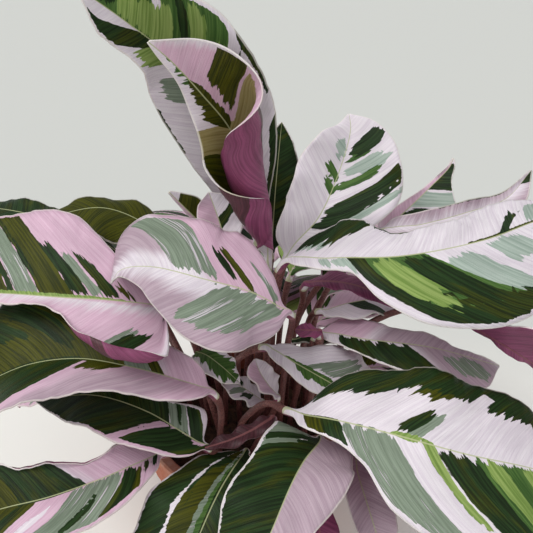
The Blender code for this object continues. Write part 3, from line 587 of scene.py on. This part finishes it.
def smooth_curve(points):
    """Centripetal Catmull-Rom curve through the inner points; the first and last only steer it."""
    knots = np.concatenate([[0], np.cumsum(np.linalg.norm(np.diff(points, axis=0), axis=1) ** 0.5)])
    parts = []
    for i in range(1, len(points) - 2):
        t = np.linspace(knots[i], knots[i + 1], CURVE_STEPS, endpoint=False)[:, None]
        t0, t1, t2, t3 = knots[i - 1:i + 3]
        p0, p1, p2, p3 = points[i - 1:i + 3]
        a1 = ((t1 - t) * p0 + (t - t0) * p1) / (t1 - t0)
        a2 = ((t2 - t) * p1 + (t - t1) * p2) / (t2 - t1)
        a3 = ((t3 - t) * p2 + (t - t2) * p3) / (t3 - t2)
        b1 = ((t2 - t) * a1 + (t - t0) * a2) / (t2 - t0)
        b2 = ((t3 - t) * a2 + (t - t1) * a3) / (t3 - t1)
        parts.append(((t2 - t) * b1 + (t - t1) * b2) / (t2 - t1))
    return np.vstack(parts + [points[-2][None]])


def monotone(x, known_x, known_y):
    """Smooth curve through known values that never overshoots them."""
    known_x = np.asarray(known_x, float)
    known_y = np.asarray(known_y, float)
    gaps = np.diff(known_x)
    slopes = np.diff(known_y) / gaps
    tangents = np.zeros(len(known_x))
    tangents[0] = slopes[0]
    tangents[-1] = slopes[-1]
    for k in range(1, len(known_x) - 1):
        if slopes[k - 1] * slopes[k] > 0:
            before = 2 * gaps[k] + gaps[k - 1]
            after = gaps[k] + 2 * gaps[k - 1]
            tangents[k] = (before + after) / (before / slopes[k - 1] + after / slopes[k])
    i = np.clip(np.searchsorted(known_x, x) - 1, 0, len(gaps) - 1)
    u = (x - known_x[i]) / gaps[i]
    low = (1 + 2 * u) * (1 - u) ** 2 * known_y[i] + u * (1 - u) ** 2 * gaps[i] * tangents[i]
    high = u * u * (3 - 2 * u) * known_y[i + 1] - u * u * (1 - u) * gaps[i] * tangents[i + 1]
    return low + high


def unit(vector):
    return vector / np.linalg.norm(vector, axis=-1, keepdims=True)


def smoothstep(x):
    x = np.clip(x, 0, 1)
    return x * x * (3 - 2 * x)


class Path:
    """A dense curve with its arc length, read by distance from its start."""

    def __init__(self, points):
        self.points = points
        self.reach = np.concatenate([[0], np.cumsum(np.linalg.norm(np.diff(points, axis=0), axis=1))])
        self.length = self.reach[-1]
        self.tangents = unit(np.gradient(points, self.reach, axis=0))

    def at(self, distance):
        columns = [np.interp(distance, self.reach, self.points[:, axis]) for axis in range(3)]
        return np.stack(columns, axis=-1)

    def tangent_at(self, distance):
        columns = [np.interp(distance, self.reach, self.tangents[:, axis]) for axis in range(3)]
        return unit(np.stack(columns, axis=-1))


def leaf_paths(leaf):
    """The stalk's path from the bottom of its hole to the neck, and the blade's from neck to tip."""
    foot = np.array([leaf.root[0], leaf.root[1], SOIL_TOP - STALK_SUNK])
    collar = np.array([leaf.root[0], leaf.root[1], SOIL_TOP + SOIL_MOUND + COLLAR_RISE])
    midrib = np.array(leaf.midrib, float)
    tail = 2 * midrib[-1] - midrib[-2]
    guide = np.array([collar] + [np.array(p, float) for p in leaf.stalk] + list(midrib) + [tail])
    below = collar - (0, 0, UPRIGHT_START * np.linalg.norm(guide[1] - collar))
    curve = smooth_curve(np.vstack([below, guide]))
    neck = (1 + len(leaf.stalk)) * CURVE_STEPS
    return Path(np.vstack([foot, curve[:neck + 1]])), Path(curve[neck:])


def station_values(leaf, values, s):
    """A per-leaf number, or one number for each station, read along the blade."""
    if np.ndim(values) == 0:
        return np.full(len(s), float(values))
    return monotone(s, (-PAST_ENDS, *leaf.stations, 1 + PAST_ENDS), (values[0], *values, values[-1]))


def half_width(leaf, widths, s):
    return monotone(s, (0, *leaf.stations, 1), (NECK_HALF_WIDTH, *widths, TIP_HALF_WIDTH))


def half_section(width, tilt, curl, roll, share):
    """Points across one half blade, as (out, up) from the midrib, and the slope there."""
    fine = np.linspace(0, 1, HALF_STEPS + 1)
    slope = np.radians(tilt + curl * fine + roll * smoothstep((fine - ROLL_START) / (1 - ROLL_START)))
    out = np.concatenate([[0], np.cumsum((np.cos(slope[1:]) + np.cos(slope[:-1])) / 2)]) * width / HALF_STEPS
    up = np.concatenate([[0], np.cumsum((np.sin(slope[1:]) + np.sin(slope[:-1])) / 2)]) * width / HALF_STEPS
    return np.interp(share, fine, out), np.interp(share, fine, up), np.interp(share, fine, slope)


def vein_place(s, out, length):
    """Where the vein through a point leaves the midrib, as a share of the blade's length."""
    return s - (VEIN_LEAN * out + VEIN_BEND * out * out) / length


def relief(leaf, side, s, share, width, length, phases):
    """How far the blade's face stands from its smooth form: edge waves, small crinkles and vein pleats."""
    taper = np.sin(math.pi * s) ** 0.5
    swing = leaf.wave * share ** 2 * math.sin(2 * math.pi * leaf.waves * s + phases[side])
    along = s * length
    small = math.sin(2 * math.pi * along / CRINKLE_LENGTH + 3 * phases[side])
    small += SMALL_CRINKLE * math.sin(2 * math.pi * along / SMALL_CRINKLE_LENGTH + 5 * phases[1 - side])
    crinkle = CRINKLE * share ** 4 * small if leaf.wave else 0.0
    pleat = np.sin(2 * math.pi * vein_place(s, share * width, length) * length / PLEAT_LENGTH)
    pleats = PLEAT_HEIGHT * pleat * np.sin(math.pi * np.clip(share * PLEAT_FADE, 0, 1))
    return taper * (swing + crinkle + pleats)


def blade_rings(leaf, path, s, share, phases):
    """Rings across the blade, upper points then lower, left to right, their leftward axes and half widths."""
    centre = path.at(s * path.length)
    tangent = path.tangent_at(s * path.length)
    leftward = unit(np.cross(np.array(leaf.face, float), tangent))
    upward = np.cross(tangent, leftward)
    widths = [half_width(leaf, w, s) for w in (leaf.left, leaf.right)]
    bends = [[station_values(leaf, pair[side], s) for pair in (leaf.tilt, leaf.curl, leaf.roll)]
             for side in (0, 1)]
    rings = []
    for i in range(len(s)):
        rows = []
        for side, sign in ((0, 1.0), (1, -1.0)):
            tilt, curl, roll = (bend[i] for bend in bends[side])
            out, up, slope = half_section(widths[side][i], tilt, curl, roll, share)
            lift = relief(leaf, side, s[i], share, widths[side][i], path.length, phases)
            out = out - lift * np.sin(slope)
            up = up + lift * np.cos(slope)
            rows.append((sign * out, up, -sign * np.sin(slope), np.cos(slope)))
        left, right = rows
        middle = [(left[k][0] + right[k][0]) / 2 for k in (2, 3)]
        size = math.hypot(*middle)
        x, y = (np.concatenate([left[k][::-1], right[k][1:]]) for k in (0, 1))
        nx, ny = (np.concatenate([left[k][:0:-1], [middle[k - 2] / size], right[k][1:]]) for k in (2, 3))
        half = np.full(len(x), BLADE_THICKNESS / 2)
        deep = half.copy()
        deep[ACROSS] += RIB_DEPTH * (1 - s[i])
        ring = [centre[i] + np.outer(x + nx * h, leftward[i]) + np.outer(y + ny * h, upward[i])
                for h in (half, -deep)]
        rings.append(np.vstack(ring))
    return np.array(rings), leftward, widths


def stalk_circle():
    """Unit circle in the blade's point order: over the top from left to right, then the underside."""
    count = 2 * ACROSS + 1
    angle = math.pi * (np.arange(count) + 0.5) / count
    top = np.stack([np.cos(angle), np.sin(angle)], 1)
    return np.vstack([top, top * (1, -1)])


def round_rings(centre, leftward, upward, radius):
    circle = stalk_circle()
    sideways = circle[None, :, :1] * leftward[:, None]
    lifted = circle[None, :, 1:] * upward[:, None]
    return centre[:, None] + np.reshape(radius, (-1, 1, 1)) * (sideways + lifted)


def stalk_rings(path, distances, neck_left):
    """Round rings down the stalk, turned as little as the bends allow."""
    dense = np.linspace(0, path.length, STALK_STEPS)
    tangents = path.tangent_at(dense)
    left = [neck_left]
    for tangent in tangents[-2::-1]:
        left.append(unit(left[-1] - tangent * np.dot(left[-1], tangent)))
    left = np.array(left[::-1])
    columns = [np.interp(distances, dense, left[:, axis]) for axis in range(3)]
    tangent = path.tangent_at(distances)
    leftward = np.stack(columns, axis=-1)
    leftward = unit(leftward - tangent * np.sum(leftward * tangent, axis=1, keepdims=True))
    swell = 1 + KNEE_SWELL * smoothstep((distances - path.length + KNEE_LENGTH) / KNEE_EASE)
    return round_rings(path.at(distances), leftward, np.cross(tangent, leftward), STALK_RADIUS * swell)


def leaf_surface(leaf, index):
    """Rings of the whole leaf with what the materials read on them."""
    stalk, blade = leaf_paths(leaf)
    phases = np.random.default_rng(WAVE_SEED + index).uniform(0, 2 * math.pi, 2)
    u = np.linspace(0, 1, max(LEAST_ROWS, int(blade.length / ROW_LENGTH)) + 1)
    s = EVEN_ROWS * u + (1 - EVEN_ROWS) * smoothstep(u)
    share = np.linspace(0, 1, ACROSS + 1)
    share = EVEN_COLUMNS * share + (1 - EVEN_COLUMNS) * share ** 2
    blades, leftward, widths = blade_rings(leaf, blade, s, share, phases)
    climb = np.linspace(STALK_SUNK + SOIL_MOUND + COLLAR_RISE, stalk.length, STALK_ROWS + 1)
    distances = np.concatenate([[0], climb])
    stalks = stalk_rings(stalk, distances, leftward[0])
    blend = smoothstep(s / NECK_SHARE)[:, None, None]
    upward = np.cross(blade.tangent_at(s * blade.length), leftward)
    rounds = round_rings(blade.at(s * blade.length), leftward, upward, STALK_RADIUS * (1 + KNEE_SWELL))
    rings = np.concatenate([stalks[:-1], rounds * (1 - blend) + blades * blend])
    return rings, blade_facts(leaf, index, s, share, widths, blade.length, distances[:-1])


def blade_facts(leaf, index, s, share, widths, length, stalk_distances):
    """Values for each point of the upper row: its vein, distances from midrib and margin, and tones."""
    t = np.concatenate([-share[::-1], share[1:]])[None, :] * np.ones((len(s), 1))
    width = np.where(t < 0, widths[0][:, None], widths[1][:, None])
    out = np.abs(t) * width
    vein = vein_place(s[:, None], out, length)
    midrib = MIDRIB_AT_NECK + (MIDRIB_AT_TIP - MIDRIB_AT_NECK) * s[:, None]
    facts = {"out": out, "rim": (1 - np.abs(t)) * width, "vein": vein * length, "rib": out / midrib}
    markings = leaf_markings(leaf, index)
    for tone in TONES:
        patches = [patch for patch in markings if patch.tone == tone]
        facts[tone + "_side"], facts[tone + "_end"] = tone_fields(patches, t, vein, width, length)
    stalk_rest = {name: -FAR if name.endswith(("_side", "_end")) else 0.0 for name in facts}
    for name, values in facts.items():
        facts[name] = np.vstack([np.full((len(stalk_distances), t.shape[1]), stalk_rest[name]), values])
    along = np.concatenate([stalk_distances, stalk_distances[-1] + s * length])
    facts["along"] = along[:, None] * np.ones(t.shape[1])
    return facts


def tone_fields(patches, t, vein, width, length):
    """Distances in mm into the deepest marking of one tone, across the veins and along them."""
    side = np.full(t.shape, -FAR)
    end = np.full(t.shape, -FAR)
    for patch in patches:
        across, along = patch_fields(patch, t, vein, width, length)
        deeper = np.minimum(across, along) > np.minimum(side, end)
        side = np.where(deeper, across, side)
        end = np.where(deeper, along, end)
    return side, end


def patch_fields(patch, t, vein, width, length):
    """Distances in mm from a marking's border, across the veins and along them, positive inside."""
    t = -t if patch.side == "L" else t
    start, stop = patch.reach
    u = np.clip((t - start) / (stop - start), 0, 1)
    low = patch.inner[0] + (patch.outer[0] - patch.inner[0]) * u
    high = patch.inner[1] + (patch.outer[1] - patch.inner[1]) * u
    across = np.minimum(vein - low, high - vein) * length * ACROSS_VEINS
    start_firm = FIRM if start >= FIRM_START else patch.firm
    stop_firm = FIRM if stop >= FIRM_MARGIN or stop <= FIRM_MIDRIB else patch.firm
    along = (t - start) * width * start_firm if start > 0 else np.where(t > 0, FAR, AT_MIDRIB)
    if stop < 1:
        along = np.minimum(along, (stop - t) * width * stop_firm)
    return across, np.where(t < -ON_MIDRIB, -2 * FAR, along)


def drawn_markings(table):
    patches = []
    for key, rows in table.items():
        tone, sides = key.split()
        for row in rows:
            slanting = len(row) > 5
            inner, outer, rest = (row[:2], row[2:4], row[4:]) if slanting else (row[:2], row[:2], row[2:])
            patches += [Patch(tone, side, inner, outer, rest[:2], *rest[2:]) for side in sides]
    return patches


def leaf_markings(leaf, index):
    """The photograph's markings of a leaf, or for a leaf at the back, bands in the same style."""
    if leaf.name in MARKINGS:
        return drawn_markings(MARKINGS[leaf.name])
    chance = np.random.default_rng(MARKING_SEED + index)
    patches = []
    for side in ("L", "R"):
        place = FIRST_BAND
        while place < LAST_BAND:
            wide = chance.uniform(*BAND_WIDTH)
            tone = str(chance.choice(BAND_TONES))
            end = min(chance.uniform(*BAND_END), FARTHEST_END)
            reach = (chance.uniform(*BAND_START), end)
            outer = (place, place + BAND_FANNING * wide)
            patches.append(Patch(tone, side, (place, place + wide), outer, reach))
            place += wide + chance.uniform(*BAND_GAP)
        inner_and_outer = [(PINK_LOW, chance.uniform(*PINK_HIGH)) for end in range(2)]
        patches.append(Patch("pink", side, *inner_and_outer))
    return patches


def linear(colour):
    """An 8-bit display colour as the linear colour that materials use."""
    shares = [c / 255 for c in colour]
    return (*[c / 12.92 if c <= 0.04045 else ((c + 0.055) / 1.055) ** 2.4 for c in shares], 1.0)


class Sketch:
    """A node material, written as calls that return sockets."""

    def __init__(self, name):
        self.material = bpy.data.materials.new(name)
        self.material.use_nodes = True
        self.tree = self.material.node_tree
        self.shader = self.tree.nodes["Principled BSDF"]

    def feed(self, socket, value):
        if isinstance(value, bpy.types.NodeSocket):
            self.tree.links.new(value, socket)
        else:
            socket.default_value = value

    def add(self, kind, inputs, output=0, **settings):
        node = self.tree.nodes.new("ShaderNode" + kind)
        for key, value in settings.items():
            setattr(node, key, value)
        for key, value in inputs.items():
            self.feed(node.inputs[key], value)
        return node.outputs[output]

    def math(self, operation, a, b=0.0):
        return self.add("Math", {0: a, 1: b}, operation=operation)

    def attribute(self, name):
        return self.add("Attribute", {}, output="Fac", attribute_name=name)

    def place(self):
        return self.add("TexCoord", {}, output="Object")

    def vector(self, x, y, z=0.0):
        return self.add("CombineXYZ", {0: x, 1: y, 2: z})

    def noise(self, place, scale=1.0, detail=2.0, roughness=0.5):
        inputs = {"Vector": place, "Scale": scale, "Detail": detail, "Roughness": roughness}
        return self.add("TexNoise", inputs)

    def ramp(self, value, low, high, to_low=0.0, to_high=1.0):
        inputs = {"Value": value, "From Min": low, "From Max": high, "To Min": to_low, "To Max": to_high}
        return self.add("MapRange", inputs, interpolation_type="SMOOTHSTEP")

    def mix(self, share, a, b, blend="MIX"):
        """Colours a and b mixed. A Mix node takes colours at sockets 6 and 7 and gives one at 2."""
        return self.add("Mix", {0: share, 6: a, 7: b}, output=2, data_type="RGBA", blend_type=blend)

    def paint(self, colour, tint, value, ramp):
        """The colour, with a tint over it where the value runs through the ramp."""
        return self.mix(self.ramp(value, *ramp), colour, tint)

    def finish(self, colour, roughness, height=None, distance=0.0, **sockets):
        """The material; distance is the bump's height in millimetres."""
        self.feed(self.shader.inputs["Base Color"], colour)
        self.feed(self.shader.inputs["Roughness"], roughness)
        for name, value in sockets.items():
            self.shader.inputs[name.replace("_", " ")].default_value = value
        if height is not None:
            bump = self.add("Bump", {"Height": height, "Strength": 1.0, "Distance": distance * MM})
            self.feed(self.shader.inputs["Normal"], bump)
        return self.material


class LeafSketch(Sketch):
    """What the two faces of a blade share: places along its veins and the ragged marking masks."""

    def __init__(self, name):
        super().__init__(name)
        self.vein = self.attribute("vein")
        self.out = self.attribute("out")
        self.rim = self.attribute("rim")
        self.seed = self.attribute("seed")
        self.streaks = self.grain(*STREAKS)
        self.fine_streaks = self.grain(*FINE_STREAKS)
        self.clouds = self.grain(*CLOUDS)
        self.old_patches = self.grain(*OLD_PATCHES)
        self.fingers = self.swing(self.grain(*FINGER_NOISE), FINGERS)
        self.wobble = self.swing(self.grain(*WOBBLE_NOISE), WOBBLE)

    def grain(self, across, out, detail, roughness):
        """Noise that is quick from vein to vein and slow on the way out along each."""
        x = self.math("MULTIPLY", self.vein, across)
        y = self.math("MULTIPLY", self.out, out)
        return self.noise(self.vector(x, y, self.seed), detail=detail, roughness=roughness)

    def swing(self, noise, size):
        return self.math("MULTIPLY", self.math("SUBTRACT", noise, 0.5), size)

    def depth(self, tone, corner=CORNER):
        """How deep a point lies in a tone's markings: clean along the veins, with fingers at their ends."""
        across = self.math("ADD", self.attribute(tone + "_side"), self.wobble)
        along = self.math("ADD", self.attribute(tone + "_end"), self.fingers)
        return self.add("Math", {0: across, 1: along, 2: corner}, operation="SMOOTH_MIN")

    def mask(self, tone):
        if tone in SOFT:
            return self.ramp(self.depth(tone, SOFT_CORNER), *SOFT_EDGE)
        return self.ramp(self.depth(tone), *CLEAN_EDGE)

    def streaked(self, pair):
        return self.paint(linear(pair[0]), linear(pair[1]), self.streaks, STREAK_SHARE)

    def shaded(self, colour, fine_ramp, cloud_ramp):
        """The colour, darker and lighter in fine streaks and in clouds."""
        fine = self.ramp(self.fine_streaks, *fine_ramp)
        shade = self.math("MULTIPLY", fine, self.ramp(self.clouds, *cloud_ramp))
        return self.mix(1.0, colour, self.vector(shade, shade, shade), "MULTIPLY")

    def vein_lines(self):
        """Fine raised lines along the veins, unevenly spaced."""
        place = self.math("ADD", self.math("MULTIPLY", self.vein, 2 * math.pi / VEIN_SPACING),
                          self.math("MULTIPLY", self.streaks, VEIN_DRIFT))
        return self.math("ADD", self.math("MULTIPLY", self.math("SINE", place), VEIN_RISE), self.fine_streaks)


def upper_material():
    sketch = LeafSketch("leaf_upper")
    colour = sketch.streaked(BASE)
    # Tones are painted in turn: the greyed pink one paints shade, and the khaki one and in part the olive one
    # paint light shining through the blade.
    for tone, pair in TONES.items():
        tint = sketch.streaked(pair)
        if tone == "dark":
            tint = sketch.paint(tint, sketch.streaked(OLD_GREEN), sketch.old_patches, OLD_SHARE)
        if tone == "sage":
            tint = sketch.paint(tint, linear(BASE[1]), sketch.streaks, SAGE_BREAKS)
        colour = sketch.mix(sketch.mask(tone), colour, tint)
    colour = sketch.shaded(colour, UPPER_FINE, UPPER_CLOUD)
    colour = sketch.paint(colour, linear(MARGIN), sketch.rim, MARGIN_SHARE)
    colour = sketch.paint(colour, linear(MIDRIB), sketch.attribute("rib"), MIDRIB_SHARE)
    rough = sketch.ramp(sketch.fine_streaks, *UPPER_ROUGH)
    return sketch.finish(colour, rough, sketch.vein_lines(), distance=0.2, Specular_IOR_Level=0.16)


def under_material():
    sketch = LeafSketch("leaf_under")
    green = sketch.mask(GREENS[0])
    for tone in GREENS[1:]:
        green = sketch.math("MAXIMUM", green, sketch.mask(tone))
    colour = sketch.mix(green, sketch.streaked(UNDER_PALE), sketch.streaked(UNDER_GREEN))
    colour = sketch.shaded(colour, UNDER_FINE, UNDER_CLOUD)
    colour = sketch.paint(colour, linear(UNDER_RIB), sketch.attribute("rib"), UNDER_RIB_SHARE)
    return sketch.finish(colour, 0.42, sketch.vein_lines(), distance=0.18, Specular_IOR_Level=0.4)


def stalk_material():
    """Red-brown petiole: fine mottles, and paler and darker lengths."""
    sketch = Sketch("leaf_stalk")
    mottle = sketch.noise(sketch.place(), scale=900.0, detail=3.0)
    along = sketch.math("MULTIPLY", sketch.attribute("along"), STALK_BLOOM_WAVES)
    bloom = sketch.noise(sketch.vector(along, sketch.attribute("seed")), detail=3.0)
    colour = sketch.paint(linear(STALK[0]), linear(STALK[1]), mottle, STALK_MOTTLE)
    colour = sketch.paint(colour, linear(STALK[1]), bloom, STALK_BLOOM)
    return sketch.finish(colour, 0.5, mottle, distance=0.2)


def clay_material():
    sketch = Sketch("clay_finish")
    place = sketch.place()
    speckle = sketch.noise(place, scale=420.0, detail=4.0, roughness=0.65)
    cloud = sketch.noise(place, scale=28.0, detail=4.0, roughness=0.6)
    bloom = sketch.noise(place, scale=16.0, detail=6.0, roughness=0.7)
    colour = sketch.paint(linear(CLAY[0]), linear(CLAY[1]), cloud, CLAY_SHARE)
    colour = sketch.paint(colour, linear(CLAY_SPECKLE), speckle, SPECKLE_SHARE)
    colour = sketch.paint(colour, linear(CLAY_BLOOM), bloom, BLOOM_SHARE)
    return sketch.finish(colour, 0.88, speckle, distance=0.3)


def soil_material():
    sketch = Sketch("earth_finish")
    lumps = sketch.noise(sketch.place(), scale=260.0, detail=6.0, roughness=0.7)
    colour = sketch.paint(linear(EARTH[0]), linear(EARTH[1]), lumps, EARTH_SHARE)
    return sketch.finish(colour, 0.95, lumps, distance=1.2)


def ring_faces(count, size):
    """Faces over the rings: the upper row, the lower row, the two edges and the two ends."""
    row = size // 2
    i, j = np.meshgrid(np.arange(count - 1), np.arange(row - 1), indexing="ij")
    a = (i * size + j).ravel()
    upper = np.stack([a, a + 1, a + 1 + size, a + size], axis=1)
    lower = (upper + row)[:, ::-1]
    i = np.arange(count - 1)
    left = np.stack([i * size, (i + 1) * size, (i + 1) * size + row, i * size + row], axis=1)
    right = (left + row - 1)[:, ::-1]
    ends = []
    for ring, flip in ((0, False), (count - 1, True)):
        first = ring * size + np.arange(row - 1)
        quad = np.stack([first, first + row, first + row + 1, first + 1], axis=1)
        ends.append(quad[:, ::-1] if flip else quad)
    return upper, lower, left, right, *ends


def leaf_mesh(leaf, rings, facts, materials):
    """A closed mesh over the rings, with the upper, under and stalk materials by face."""
    groups = ring_faces(*rings.shape[:2])
    faces = np.vstack(groups)
    over, under = (UNDER_SLOT, UPPER_SLOT) if leaf.flipped else (UPPER_SLOT, UNDER_SLOT)
    finishes = np.concatenate([np.full(len(group), over) for group in groups])
    finishes[len(groups[0]):len(groups[0]) + len(groups[1])] = under
    finishes[faces.min(axis=1) // rings.shape[1] < STALK_ROWS] = STALK_SLOT
    mesh = bpy.data.meshes.new(leaf.name + "_grown")
    mesh.from_pydata((rings.reshape(-1, 3) * MM).tolist(), [], faces.tolist())
    for finish in materials:
        mesh.materials.append(finish)
    mesh.polygons.foreach_set("material_index", finishes)
    for name, values in facts.items():
        both = np.concatenate([values, values], axis=1).ravel()
        layer = mesh.attributes.new(name, "FLOAT", "POINT")
        layer.data.foreach_set("value", both.astype(np.float32))
    mesh.shade_smooth()
    mesh.update()
    return mesh


def dress_leaves():
    materials = (upper_material(), under_material(), stalk_material())
    for index, leaf in enumerate(all_leaves()):
        rings, facts = leaf_surface(leaf, index)
        facts["seed"] = np.full(facts["out"].shape, SEED_STEP * index)
        piece = bpy.data.objects.new(leaf.name + "_grown", leaf_mesh(leaf, rings, facts, materials))
        bpy.context.scene.collection.objects.link(piece)
        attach(piece, "root")
        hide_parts(leaf.name)


def dress_pot(frame):
    for node, finish in (("pot", clay_material()), ("soil", soil_material())):
        mesh = frame["nodes"][node].data
        mesh.materials.clear()
        mesh.materials.append(finish)
        mesh.shade_smooth()
        mesh.set_sharp_from_angle(angle=math.radians(SHARP_ANGLE))


def make_camera():
    data = bpy.data.cameras.new("photo_camera")
    data.sensor_width = SENSOR
    data.lens = FOCAL_PIXELS / PHOTO_SIDE * SENSOR
    camera = bpy.data.objects.new("photo_camera", data)
    camera.location = [v * MM for v in CAMERA_PLACE]
    camera.rotation_euler = (math.radians(90 - CAMERA_DOWN), 0, 0)
    bpy.context.scene.collection.objects.link(camera)
    bpy.context.scene.camera = camera


def soft_sun(name, azimuth, elevation, strength, spread, colour):
    """Daylight from a wide window: azimuth 0 comes from +X and 90 from +Y."""
    data = bpy.data.lights.new(name, "SUN")
    data.energy = strength
    data.angle = math.radians(spread)
    data.color = colour
    light = bpy.data.objects.new(name, data)
    light.rotation_euler = (0, math.radians(90 - elevation), math.radians(azimuth))
    bpy.context.scene.collection.objects.link(light)


def make_stage():
    corners = [(x * FLOOR_SIZE, y * FLOOR_SIZE, 0) for x, y in ((-1, -1), (1, -1), (1, 1), (-1, 1))]
    mesh = bpy.data.meshes.new("floor")
    mesh.from_pydata(corners, [], [(0, 1, 2, 3)])
    sketch = Sketch("floor_finish")
    away = sketch.add("VectorMath", {0: sketch.place(), 1: AWAY}, output="Value", operation="DOT_PRODUCT")
    colour = sketch.paint(linear(FLOOR_NEAR), linear(FLOOR_AWAY), away, AWAY_SHARE)
    mesh.materials.append(sketch.finish(colour, 0.9))
    floor = bpy.data.objects.new("floor", mesh)
    bpy.context.scene.collection.objects.link(floor)


def make_light():
    world = bpy.data.worlds.new("studio")
    world.use_nodes = True
    background = world.node_tree.nodes["Background"]
    background.inputs["Color"].default_value = SKY
    background.inputs["Strength"].default_value = SKY_STRENGTH
    bpy.context.scene.world = world
    for name, settings in SUNS.items():
        soft_sun(name, *settings)
    bpy.context.scene.view_settings.view_transform = "Standard"


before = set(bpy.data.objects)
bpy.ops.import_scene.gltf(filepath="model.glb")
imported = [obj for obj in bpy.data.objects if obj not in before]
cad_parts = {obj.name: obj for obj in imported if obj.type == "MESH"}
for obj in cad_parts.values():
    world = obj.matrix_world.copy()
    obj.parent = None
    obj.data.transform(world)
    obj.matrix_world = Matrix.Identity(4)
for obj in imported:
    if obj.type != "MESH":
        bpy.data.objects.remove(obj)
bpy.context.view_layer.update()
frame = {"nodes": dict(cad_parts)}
make_camera()
make_stage()
make_light()
dress_pot(frame)
dress_leaves()
